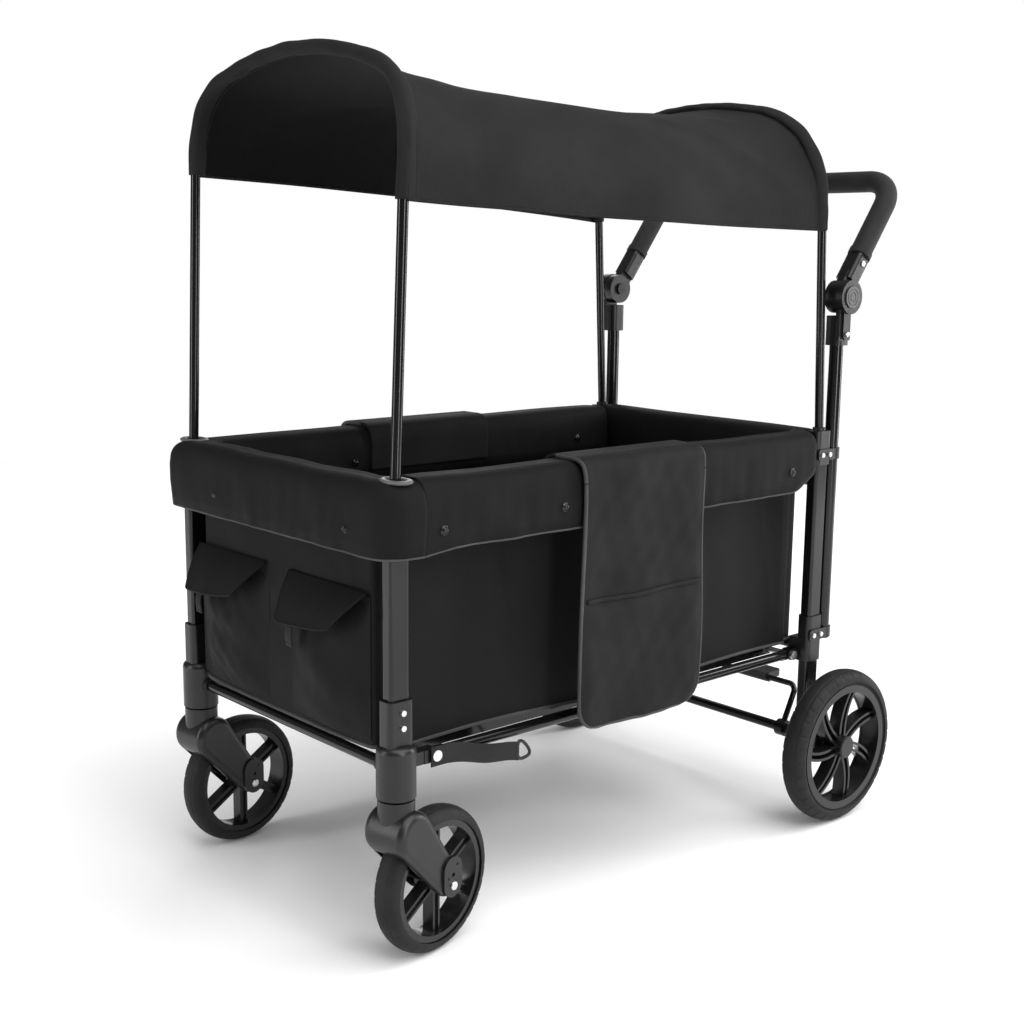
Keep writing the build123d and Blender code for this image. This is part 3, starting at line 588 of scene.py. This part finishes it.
def canopy_sleeve(which, inward):
    """Fabric sleeve round a hoop, puckered a little, closed at both feet."""
    hoop = HOOPS[which]
    share = np.linspace(0, 1, 260)
    y, z = arch(share, POST_Y, hoop["top"], hoop["bend"], hoop["crown"], float(which == "rear"))
    path = np.stack([lean_x(which, z), y, z], axis=1)
    around = np.linspace(0, math.tau, 22, endpoint=False)
    ahead = np.gradient(path, axis=0)
    ahead /= np.linalg.norm(ahead, axis=1, keepdims=True)
    out = np.cross(np.array((1.0, 0, 0)), ahead)
    out /= np.linalg.norm(out, axis=1, keepdims=True)
    fore = np.cross(ahead, out)
    turn = around[None, :]
    girth = (share * GIRTH)[:, None]
    reach = SLEEVE_RADIUS + ripple(girth, turn * 0.02, 11 if inward > 0 else 12, 0.055, 0.0006)
    stretch = 1.0 + 0.75 * np.clip(np.cos(turn) * inward, 0, 1)
    ahead_part = (stretch * np.cos(turn))[..., None] * fore[:, None]
    ring = path[:, None] + reach[..., None] * (ahead_part + np.sin(turn)[..., None] * out[:, None])
    faces = grid_faces(len(path), len(around), round_rows=True) + end_caps(len(path), len(around))
    return make_piece(f"canopy_{which}_sleeve", ring.reshape(-1, 3), faces, "canopy_fabric")


def canopy():
    """One sheet stretched over both hoops and sagging between them, with sleeves, seams and hems."""
    rows, columns = 241, 200
    share = np.linspace(0, 1, rows)[:, None]
    t = np.linspace(0, 1, columns)[None, :]
    front, rear = HOOPS["front"], HOOPS["rear"]
    saddle = (4 * t * (1 - t)) ** 0.45
    lift = CLOTH_OFF_HOOP
    half = POST_Y + lift - 0.020 * saddle
    top = (front["top"] + lift) * (1 - t) + (rear["top"] + lift) * t - 0.042 * saddle
    bend = (front["bend"] + lift) * (1 - t) + (rear["bend"] + lift) * t + 0.012 * saddle
    crown = (front["crown"] + lift) * (1 - t) + (rear["crown"] + lift) * t
    y, z = arch(share, half, top, bend, crown, t)
    x = (1 - t) * lean_x("front", z) + t * lean_x("rear", z)
    girth = share * GIRTH
    drape = ripple(girth, x * 0.35, 3, 0.16, 0.0011) * saddle
    drape = drape + ripple(girth, x, 4, 0.34, 0.0016) * saddle
    for start, end, height in (
        ((0.02, -0.47), (0.27, -0.20), 0.0032), ((0.03, 0.30), (0.25, 0.02), 0.0030),
        ((0.78, -0.47), (0.53, -0.20), 0.0032), ((0.77, 0.30), (0.55, 0.02), 0.0030),
        ((0.14, -0.46), (0.38, -0.24), 0.0022), ((0.14, 0.33), (0.36, 0.05), 0.0022),
    ):
        drape = drape + crease(girth, x, start, end, 0.022, height)
    rise = z - 0.95
    reach = np.sqrt(y ** 2 + rise ** 2)
    grid = np.stack([x, y + drape * y / reach, z + drape * rise / reach], axis=2)
    sheet = skin("canopy_sheet", grid, CLOTH, "canopy_fabric")
    # Painted shade: the faces of the sheet's inner layer take the darker copy of the canopy fabric.
    sheet.data.materials.append(MATERIALS["canopy_lining"])
    inner_points = rows * columns
    for face in sheet.data.polygons:
        face.material_index = int(max(face.vertices) < inner_points)
    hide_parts("front_canopy_cover", "rear_canopy_cover")
    gathers(sheet, *CANOPY_SPAN, "canopy_fabric")
    for which, inward, body in (("front", 1, "front_frame"), ("rear", -1, "rear_frame")):
        sleeve = canopy_sleeve(which, inward)
        on_body(sleeve, body)
        seam_at = SEAM_COLUMN if inward > 0 else columns - 1 - SEAM_COLUMN
        seam_path = resample(grid[:, seam_at], 400)
        seam = tube(f"canopy_{which}_seam", seam_path, 0.0016, "canopy_fabric", 6)
        gathers(seam, *CANOPY_SPAN, "canopy_fabric")
    for side, edge in (("right", 0), ("left", rows - 1)):
        hem_path = resample(grid[edge], 160)
        cord = tube(f"canopy_hem_{side}", hem_path, 0.0022, "canopy_fabric", 8)
        gathers(cord, *CANOPY_SPAN, "canopy_fabric")


# ---- padded rim covers ----
RIM_DEPTH = 0.089
RIM_WIDTH = 0.065
RIM_THICK = 0.005
# Share of the way from the outer line to the inner one, and drop from the rim's top.
RIM_PROFILE = [
    (-0.01, -RIM_DEPTH), (-0.035, -0.074), (-0.055, -0.052), (-0.06, -0.028), (-0.02, -0.011),
    (0.10, -0.0005), (0.30, 0.003), (0.50, 0.002), (0.70, 0.003), (0.90, -0.001), (1.01, -0.014),
    (1.05, -0.034), (1.03, -0.055), (1.0, -0.078),
]
FRONT_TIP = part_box("front_rim_cover")[0].x
FRONT_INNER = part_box("front_rim_cover")[1].x
SIDE_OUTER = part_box("side_rim_covers")[1].y
SIDE_INNER = SIDE_OUTER - RIM_WIDTH
SIDE_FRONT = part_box("side_rim_covers")[0].x
SIDE_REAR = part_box("side_rim_covers")[1].x


def rim_grid(outer, inner, low_lift, seed):
    """Padded cover swept between two lines in plan; low_lift raises its outer lower edge."""
    profile = smooth_path(RIM_PROFILE, 46)
    outer, inner = np.array(outer, float), np.array(inner, float)
    share, drop = profile[:, 0][None, :], profile[:, 1][None, :]
    run = np.concatenate([[0], np.cumsum(np.linalg.norm(np.diff(outer, axis=0), axis=1))])[:, None]
    down = np.clip(-drop / RIM_DEPTH, 0, 1)
    outside = share < 0.5
    lift = np.where(outside, np.asarray(low_lift)[:, None] * down ** 1.5, 0)
    z = RIM_TOP + drop + lift
    sag = ripple(run, np.zeros_like(drop), seed, 0.24, 0.0011) * (1 - down)
    z = z + sag
    puff = ripple(run, drop, seed + 1, 0.11, 0.0016) + ripple(run, drop, seed + 2, 0.045, 0.0006)
    push = np.where(outside, -puff, puff) / RIM_WIDTH * np.clip(down * 2.5, 0.25, 1)
    share = share + push
    xy = outer[:, None, :] * (1 - share)[..., None] + inner[:, None, :] * share[..., None]
    return np.concatenate([xy, z[..., None]], axis=2)


def corner_line(side_y, tip, bend, end_x):
    """Line in plan from the right side round the front to the left side."""
    arc = [math.pi / 2 * k / 14 for k in range(15)]
    right = [(tip + bend - bend * math.sin(a), -side_y + bend - bend * math.cos(a)) for a in arc]
    left = [(x, -y) for x, y in reversed(right)]
    return resample([(end_x, -side_y)] + right + left + [(end_x, side_y)], 150)


def piping(name, edge, body=None, span=None):
    """Bound lower edge of a rim cover."""
    cord = tube(name, edge + np.array((0, 0, -0.001)), 0.0026, "piping", 8)
    if span:
        gathers(cord, *span, "rim_fabric")
    else:
        on_body(cord, body)


def snap(name, place, out, body=None, span=None):
    """Domed press stud with a flat collar."""
    profile = [(-0.0016, 0.0068), (0.0010, 0.0072), (0.0020, 0.0066), (0.0022, 0.0052)]
    profile += [(0.0030, 0.0046), (0.0044, 0.0036), (0.0052, 0.0018), (0.0054, 0.0002)]
    stud = turned(name, profile, place, out, "snap", 28)
    if span:
        gathers(stud, *span, "bright_steel")
    else:
        on_body(stud, body)


def grommet(name, x, sign):
    """Moulded oval ring that the hoop comes out of."""
    turn = np.linspace(0, math.tau, 64, endpoint=False)
    long_half, wide_half, height = 0.014, 0.021, RIM_TOP + 0.0035
    path = np.stack([
        x + long_half * np.cos(turn), sign * POST_Y + wide_half * np.sin(turn), np.full(len(turn), height),
    ], axis=1)
    ring = tube(name, path, 0.0052, "grommet", 10, flat=0.55, closed=True)
    on_body(ring, "front_frame")


def front_rim():
    outer = corner_line(SIDE_OUTER, FRONT_TIP, 0.034, SIDE_FRONT)
    inner = corner_line(SIDE_INNER, FRONT_INNER, 0.010, SIDE_FRONT)
    grid = rim_grid(outer, inner, np.zeros(len(outer)), 21)
    cover = skin("front_rim_padding", grid, RIM_THICK, "rim_fabric")
    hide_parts("front_rim_cover")
    on_body(cover, "front_frame")
    piping("front_rim_piping", grid[:, 0], "front_frame")
    for side, sign in SIDES.items():
        grommet(f"hoop_grommet_{side}", FRONT_X + 0.001, sign)
    for tag, y in (("right", -0.193), ("left", 0.125)):
        snap(f"front_rim_snap_{tag}", (FRONT_TIP - 0.0025, y, 0.582), (-1, 0, 0), "front_frame")


def side_rim(name, sign):
    """Padded cover of one long side; its outer lower edge rises towards the rear post."""
    span = (SIDE_FRONT, SIDE_REAR)
    count = 320
    x = np.linspace(SIDE_FRONT, SIDE_REAR - 0.001, count)
    from_rear = SIDE_REAR - x
    tuck = np.clip(1 - from_rear / 0.026, 0, 1)
    outer_y = SIDE_OUTER - 0.036 * (1 - np.sqrt(np.clip(1 - tuck ** 2, 0, 1)))
    outer = np.stack([x, sign * outer_y], axis=1)
    inner = np.stack([x, np.full(count, sign * SIDE_INNER)], axis=1)
    lift = 0.006 + 0.046 * np.clip(1 - from_rear / 0.075, 0, 1) ** 1.6
    lift = lift * np.clip((x - SIDE_FRONT) / 0.05, 0, 1)
    grid = rim_grid(outer, inner, lift, 31 if sign < 0 else 37)
    outward = grid if sign < 0 else grid[:, ::-1]
    cover = skin(f"side_rim_padding_{name}", outward, RIM_THICK, "rim_fabric")
    gathers(cover, *span, "rim_fabric")
    piping(f"side_rim_piping_{name}", grid[:, 0], span=span)
    stud_lift = 0.0045
    for x_at, z_at in ((-0.4547, 0.581), (-0.2463, 0.588), (0.2437, 0.590)):
        tag = f"{name}_{int((x_at + 0.5) * 100)}"
        outside = (x_at, sign * (SIDE_OUTER + stud_lift), z_at)
        inside = (x_at, sign * (SIDE_INNER - stud_lift), z_at + 0.004)
        snap(f"side_rim_snap_{tag}", outside, (0, sign, 0), span=span)
        snap(f"side_rim_inner_snap_{tag}", inside, (0, -sign, 0), span=span)
    inner_half = 24
    for x_at in (-0.26, -0.05, 0.16):
        row = int((x_at - SIDE_FRONT) / (SIDE_REAR - SIDE_FRONT) * (count - 1))
        seam = grid[row, inner_half:]
        title = f"side_rim_seam_{name}_{int((x_at + 0.5) * 100)}"
        ridge = tube(title, seam, 0.0036, "rim_fabric", 8, flat=0.7)
        gathers(ridge, *span, "rim_fabric")
    return cover


def rear_rim_padding():
    low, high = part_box("rear_rim_cover")
    count = 140
    y = np.linspace(low.y + 0.002, high.y - 0.002, count)
    close = np.clip(1 - (0.230 - abs(y)) / 0.018, 0, 1)
    pinch = 0.012 * (1 - np.sqrt(np.clip(1 - close ** 2, 0, 1)))
    outer = np.stack([high.x - pinch, y], axis=1)
    inner = np.stack([low.x + pinch * 0.3, y], axis=1)
    grid = rim_grid(outer, inner, np.full(count, 0.0), 43)
    cover = skin("rear_rim_padding", grid, RIM_THICK, "rim_fabric")
    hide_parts("rear_rim_cover")
    on_body(cover, "rear_frame")
    piping("rear_rim_piping", grid[:, 0], "rear_frame")
    inner_side = grid[0, 26:]
    for k, y_at in enumerate((-0.105, 0.015)):
        path = [(point[0] - 0.0035, y_at, point[2]) for point in inner_side]
        band = ribbon(f"rear_tie_band_{k}", path, (0, 1, 0), 0.025, 0.0014)
        on_body(band, "rear_frame")


def ribbon(name, path, across, width, thick):
    """Flat tape along a path, across giving its width direction."""
    path = resample(path, max(len(path), 24))
    wide = np.array(across, float)
    wide /= np.linalg.norm(wide)
    grid = path[:, None, :] + np.linspace(-width / 2, width / 2, 9)[None, :, None] * wide
    return skin(name, grid, thick, "webbing")


# ---- tub walls ----
CLOTH = 0.0022
WALL_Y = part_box("rear_tub_walls")[1].y - 0.001
WALL_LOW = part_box("front_side_walls")[0].z
WALL_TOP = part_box("front_side_walls")[1].z
FRONT_WALL_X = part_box("front_wall")[1].x - 0.0015
REAR_WALL_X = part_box("rear_tub_walls")[1].x - 0.0015


def side_wall(name, sign):
    """Side wall whose two ends lie flat on the end walls' turned-back edges."""
    front, rear = FRONT_WALL_X + 0.030, REAR_WALL_X - 0.022
    span = (front, rear)
    x = np.linspace(front, rear, 300)[:, None]
    down = np.linspace(0, 1, 120)[None, :]
    low = WALL_LOW - 0.004 + 0.004 * np.sin((x - front) * 11.0 + (0 if sign < 0 else 2))
    z = (WALL_TOP - 0.012) * (1 - down) + low * down
    belly = np.sin(np.pi * down) ** 0.8
    out = 0.0010 * belly + ripple(x, z, 51 if sign < 0 else 52, 0.24, 0.0012) * belly
    out = out + ripple(x, z * 0.25, 53 if sign < 0 else 54, 0.10, 0.0006)
    for where, height in ((-0.330, 0.0022), (-0.120, 0.0016), (0.070, 0.0018), (0.240, 0.0022)):
        out = out + crease(x, z, (where, 0.590), (where + 0.05, 0.295), 0.014, height)
    hug = np.clip(1 - np.minimum(x - front, rear - x) / 0.020, 0, 1)
    out = out * (1 - hug) - 0.0012 * hug
    y = np.clip(WALL_Y + out, WALL_Y - 0.003, WALL_Y + 0.0035) * sign
    grid = np.stack([x + 0 * z, y + 0 * z, z + 0 * x], axis=2)
    wall = skin(f"side_wall_{name}", grid, CLOTH, "tub_fabric")
    gathers(wall, *span, "tub_fabric")
    edge = grid[:, -1] + np.array((0, 0, -0.0006))
    hem = tube(f"side_wall_hem_{name}", edge, 0.0030, "piping", 8)
    gathers(hem, *span, "tub_fabric")


def end_wall(x_wall, turn_back, seed):
    """End wall whose two edges wrap back round the corners."""
    wide = WALL_Y - 0.003
    arc = [math.pi / 2 * k / 8 for k in range(9)]
    bend = 0.010
    toward = 1 if turn_back > 0 else -1
    right = [(x_wall + toward * (bend - bend * math.sin(a)), -wide + bend - bend * math.cos(a)) for a in arc]
    left = [(x, -y) for x, y in reversed(right)]
    plan = [(x_wall + turn_back, -wide)] + right + left + [(x_wall + turn_back, wide)]
    plan = resample(plan, 220)
    down = np.linspace(0, 1, 110)[None, :]
    y, x = plan[:, 1][:, None], plan[:, 0][:, None]
    middle = np.clip(1 - (abs(y) / wide) ** 4, 0, 1)
    low = WALL_LOW + 0.002 - 0.004 * middle
    z = (WALL_TOP - 0.018) * (1 - down) + low * down
    belly = np.sin(np.pi * down) * middle
    out = (0.0022 + ripple(y, z, seed, 0.20, 0.0014)) * belly
    return np.stack([x - toward * out, y + 0 * z, z + 0 * y], axis=2)


def front_panel():
    grid = end_wall(FRONT_WALL_X, 0.044, 61)
    wall = skin("front_panel", grid, CLOTH, "tub_fabric")
    on_body(wall, "front_frame")
    hem = tube("front_panel_hem", grid[:, -1], 0.0030, "piping", 8)
    on_body(hem, "front_frame")
    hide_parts("front_wall", "front_side_walls")
    for tag, y_mid, seed in (("right", -0.114, 77), ("left", 0.124, 78)):
        pocket(tag, y_mid, seed)


def rear_panel():
    grid = end_wall(REAR_WALL_X, -0.036, 66)
    wall = skin("rear_panel", grid, CLOTH, "tub_fabric")
    on_body(wall, "rear_frame")
    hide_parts("rear_tub_walls")
    hem = tube("rear_panel_hem", grid[:, -1], 0.0030, "piping", 8)
    on_body(hem, "rear_frame")


def pocket(tag, y_mid, seed):
    """Soft pocket that grows out of the wall, its flap and the pull tab under it."""
    half, low, high, depth = 0.092, 0.300, 0.492, 0.027
    a = np.linspace(-1, 1, 100)[:, None]
    b = np.linspace(0, 1, 90)[None, :]
    bulge = np.cos(a * math.pi / 2) ** 1.1 * np.clip(1 - abs(2 * b - 0.90) ** 2.4, 0, 1) ** 0.9
    crumple = ripple(a * half, b * 0.18, seed, 0.085, 0.0030)
    crumple = crumple + ripple(a * half, b * 0.18, seed + 5, 0.034, 0.0009)
    x = FRONT_WALL_X - 0.0005 - bulge * (depth + crumple)
    y = y_mid + a * half + 0 * b
    z = low + (high - low) * b + 0 * a
    body = skin(f"pocket_{tag}", np.stack([x, y, z], axis=2), 0.0020, "tub_fabric")
    on_body(body, "front_frame")
    s = np.linspace(-1, 1, 80)[:, None]
    d = np.linspace(0, 1, 60)[None, :]
    reach = 0.0560 + 0.0060 * s - 0.0030 * s ** 6
    flare = 0.041 * d * (1 - 0.10 * s ** 2) + 0.004 * np.sin(math.pi * d)
    curl = ripple(s * 0.09, d * 0.07, seed + 9, 0.13, 0.0016) * d
    x = FRONT_WALL_X - 0.0045 - flare - curl
    y = y_mid + s * (0.088 - 0.026 * d) + 0.007 * d
    z = 0.496 - d * reach
    flap = skin(f"pocket_flap_{tag}", np.stack([x, y + 0 * d, z + 0 * s], axis=2), 0.0036, "rim_fabric")
    on_body(flap, "front_frame")
    edge_path = np.stack([x - 0.0002, y + 0 * d, z + 0 * s], axis=2)
    rim_line = np.vstack([edge_path[0], edge_path[:, -1], edge_path[-1][::-1]])
    stitch = tube(f"pocket_flap_edge_{tag}", resample(rim_line, 200), 0.0024, "rim_fabric", 8)
    on_body(stitch, "front_frame")
    tip = y_mid + 0.042
    fall = ((0.020, 0.447), (0.034, 0.440), (0.039, 0.424), (0.037, 0.404))
    tab_path = [(FRONT_WALL_X - out, tip, z_at) for out, z_at in fall]
    tab = ribbon(f"pocket_tab_{tag}", smooth_path(tab_path, 26), (0, 1, 0.1), 0.014, 0.0018)
    on_body(tab, "front_frame")


# ---- side organisers ----
def organiser(name, sign):
    """Storage panel that hangs over the side rim, with a sewn pocket on its lower half."""
    low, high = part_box("side_organisers")
    x0, x1 = low.x + 0.004, high.x - 0.004
    outer, inner = high.y - 0.005, 0.2035
    bottom, bend = low.z + 0.004, 0.034
    path = [(inner, 0.578), (inner, 0.600), (inner - 0.001, 0.628), (inner + 0.003, 0.6445)]
    path += [(inner + 0.020, 0.6495), (0.243, 0.6485), (outer - 0.016, 0.6495), (outer - 0.001, 0.641)]
    path += [(outer + 0.001, 0.610), (outer, 0.560)]
    path += [(outer - 0.001, 0.500), (outer, 0.42), (outer, 0.34), (outer - 0.002, bottom)]
    line = smooth_path(path, 200)
    v_y, v_z = line[:, 0][None, :], line[:, 1][None, :]
    u = np.linspace(-1, 1, 110)[:, None]
    above = np.clip((v_z - bottom) / bend, 0, 1)
    shrink = bend * (1 - np.sqrt(np.clip(1 - (1 - above) ** 2, 0, 1)))
    shrink = np.where(v_y > 0.27, shrink, 0)
    half = (x1 - x0) / 2 - shrink
    x = (x0 + x1) / 2 + u * half
    waist = 0.0028 * np.sin((v_z - 0.27) * 16.0) * u
    x = x + np.where(v_y > 0.25, waist, 0)
    outside = np.where(v_y > 0.27, 1.0, 0.0)
    puff = ripple(x, v_z + 0 * u, 81 if sign < 0 else 82, 0.12, 0.0022) + ripple(x, v_z, 83, 0.045, 0.0007)
    lower = np.clip((0.452 - v_z) / 0.02, 0, 1) * outside
    pillow = np.clip(1 - abs(u) ** 4, 0, 1) * (0.0030 * lower + 0.0010)
    edge_in = np.clip(abs(u) * 8 - 7, 0, 1)
    step = (puff * (1 - edge_in) + pillow) * outside
    y = sign * (v_y + step)
    grid = np.stack([x, y + 0 * x, v_z + 0 * x], axis=2)
    panel = skin(f"organiser_{name}", grid, 0.0062, "organiser_fabric")
    span = (SIDE_FRONT, SIDE_REAR)
    if sign < 0:
        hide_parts("side_organisers")
    gathers(panel, *span, "organiser_fabric")
    bound_from = 34
    bound = np.vstack([grid[0, bound_from:], grid[:, -1], grid[-1, bound_from:][::-1]])
    bound = smooth_path(resample(bound, 240), 420, 2)
    bound[:, 1] += sign * 0.0008
    cord = tube(f"organiser_piping_{name}", bound, 0.0030, "piping", 8)
    gathers(cord, *span, "organiser_fabric")
    seam_at = int(np.argmin(abs(line[:, 1] - 0.4515) + (line[:, 0] < 0.27)))
    lip = grid[3:-3, seam_at] + np.array((0, sign * 0.0040, 0))
    lip[:, 2] += -0.0018 * np.cos(np.linspace(-1, 1, len(lip)) * math.pi / 2)
    cord = tube(f"organiser_pocket_lip_{name}", lip, 0.0030, "organiser_fabric", 8, flat=1.2)
    gathers(cord, *span, "organiser_fabric")


# ---- floor mats ----
def mat(name, node, body, seed):
    """Padded half of the folding floor with sewn channels across it."""
    low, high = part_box(node)
    rows, columns = 120, 130
    u, v = np.linspace(0, 1, rows)[:, None], np.linspace(0, 1, columns)[None, :]
    x = low.x + (high.x - low.x) * u + 0 * v
    y = low.y + (high.y - low.y) * v + 0 * u
    edge = np.minimum(np.minimum(u, 1 - u), np.minimum(v, 1 - v)) * 0.36
    crown = np.clip(edge / 0.012, 0, 1) ** 0.5
    channel = sum(np.exp(-((u - at) * 0.333 / 0.004) ** 2) for at in (0.25, 0.5, 0.75))
    top = high.z - 0.007 + 0.007 * crown - 0.0035 * channel + ripple(x, y, seed, 0.12, 0.0008) * crown
    bottom = low.z + 0.0005 + 0.004 * (1 - crown)
    upper = np.stack([x, y, top], axis=2).reshape(-1, 3)
    under = np.stack([x, y, bottom + 0 * x], axis=2).reshape(-1, 3)
    pad = make_piece(name, np.vstack([upper, under]), two_layers(rows, columns), "mat_fabric")
    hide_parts(node)
    on_body(pad, body)


# ---- fold strap ----
def strap():
    """Short webbing that runs along the front link and falls to its D-ring."""
    low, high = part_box("fold_strap")
    face = (low.y + high.y) / 2
    run = np.linspace(0, 1, 90)
    x = low.x + 0.004 + (high.x - low.x - 0.002) * run
    fall = np.where(run < 0.17, 0, (run - 0.17) / 0.83)
    z = high.z - 0.0145 - 0.027 * fall + 0.0012 * np.sin(fall * 9.0) * (fall > 0)
    y = face - 0.0012 + 0.0012 * np.sin(fall * 7.0) * (fall > 0)
    tilt = 0.10 * np.sin(fall * 6.0)
    across = np.linspace(-0.5, 0.5, 11)[None, :]
    width = 0.027
    grid = np.stack([
        x[:, None] + 0 * across,
        y[:, None] + across * width * np.sin(tilt)[:, None],
        z[:, None] + across * width * np.cos(tilt)[:, None],
    ], axis=2)
    tape = skin("fold_strap_webbing", grid, 0.0018, "webbing")
    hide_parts("fold_strap")
    on_body(tape, "front_frame")
    ring_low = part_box("fold_strap_ring")[0]
    near, far = ring_low.x - 0.001, ring_low.x + 0.021
    foot, crest = z[-1] - 0.013, z[-1] + 0.014
    corners = [(near, crest), (near, foot), (far, foot + 0.002)]
    corners += [(far + 0.002, foot + 0.010), (near + 0.010, crest)]
    loop = smooth_path([(a, face, b) for a, b in corners + corners[:2]], 120, 3)
    ring = tube("fold_strap_d_ring", loop[12:-12], 0.0024, "bracket_plastic", 10)
    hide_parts("fold_strap_ring")
    on_body(ring, "front_frame")


# ---- tyres ----
def tyre_profile(radius, width, inner):
    """Half of the section, from the bead to the middle of the tread; (across, radius)."""
    half = width / 2
    return [
        (-half * 0.62, inner), (-half * 0.80, inner + 0.002), (-half * 0.86, inner + 0.005),
        (-half * 0.80, inner + 0.0075), (-half * 0.88, inner + 0.0105), (-half, radius - 0.019),
        (-half * 0.985, radius - 0.013), (-half * 0.90, radius - 0.0075), (-half * 0.72, radius - 0.0035),
        (-half * 0.45, radius - 0.0010), (-half * 0.1, radius),
    ]


def tyre(name, node, body, axis, groove_depth, blocks):
    """Moulded tyre: ribbed shoulders, two fine grooves round the tread and a bead at the rim."""
    low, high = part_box(node)
    centre = (Vector(low) + Vector(high)) / 2
    radius = (high.z - low.z) / 2
    front = node.startswith("front")
    width, inner = (0.039, 0.0797) if front else (0.042, 0.0997)
    half_profile = smooth_path(tyre_profile(radius, width, inner), 34, 2)
    profile = np.vstack([half_profile, half_profile[::-1] * np.array((-1, 1))])
    steps = 360
    axis = Vector(axis).normalized()
    first = axis.orthogonal().normalized()
    second = axis.cross(first)
    turn = np.linspace(0, math.tau, steps, endpoint=False)[:, None]
    across, reach = profile[:, 0][None, :], profile[:, 1][None, :]
    shoulder = np.clip((abs(across) - width * 0.27) / (width * 0.06), 0, 1)
    shoulder = shoulder * np.clip((reach - (radius - 0.019)) / 0.004, 0, 1)
    cut = np.clip(np.cos(turn * blocks + 0.9 * np.sign(across)) * 9 - 8, 0, 1)
    rib = np.exp(-((abs(across) - width * 0.22) / 0.0011) ** 2)
    reach = reach - groove_depth * (shoulder * cut) - 0.0009 * rib * (reach > radius - 0.006)
    ring = (
        np.array(centre)[None, None, :]
        + (across + 0 * turn)[..., None] * np.array(axis)
        + (reach * np.cos(turn))[..., None] * np.array(first)
        + (reach * np.sin(turn))[..., None] * np.array(second)
    )
    faces = grid_faces(steps, profile.shape[0], round_rows=True, joined_ends=True)
    tread = make_piece(name, ring.reshape(-1, 3), faces, "tyre_rubber")
    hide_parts(node)
    on_body(tread, body)


def wheels():
    joints = {joint["name"]: joint for joint in frame["joints"]}
    for side in SIDES:
        for place, depth, blocks in (("front", 0.0014, 30), ("rear", 0.0026, 34)):
            axis = joints[f"{place}_wheel_spin_{side}"]["axis"]
            wheel = f"{place}_wheel_{side}"
            tyre(f"{place}_tyre_tread_{side}", f"{place}_tyre_{side}", wheel, axis, depth, blocks)


make_materials()
camera()
studio()
dress_frame()
canopy()
front_rim()
rear_rim_padding()
front_panel()
rear_panel()
for side_name, side_sign in SIDES.items():
    padding = side_rim(side_name, side_sign)
    if side_sign == RIGHT:
        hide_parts("side_rim_covers")
    side_wall(side_name, side_sign)
    organiser(side_name, side_sign)
mat("rear_mat_pad", "rear_floor_mat", "floor_rear", 91)
mat("front_mat_pad", "front_floor_mat", "floor_front", 92)
strap()
wheels()
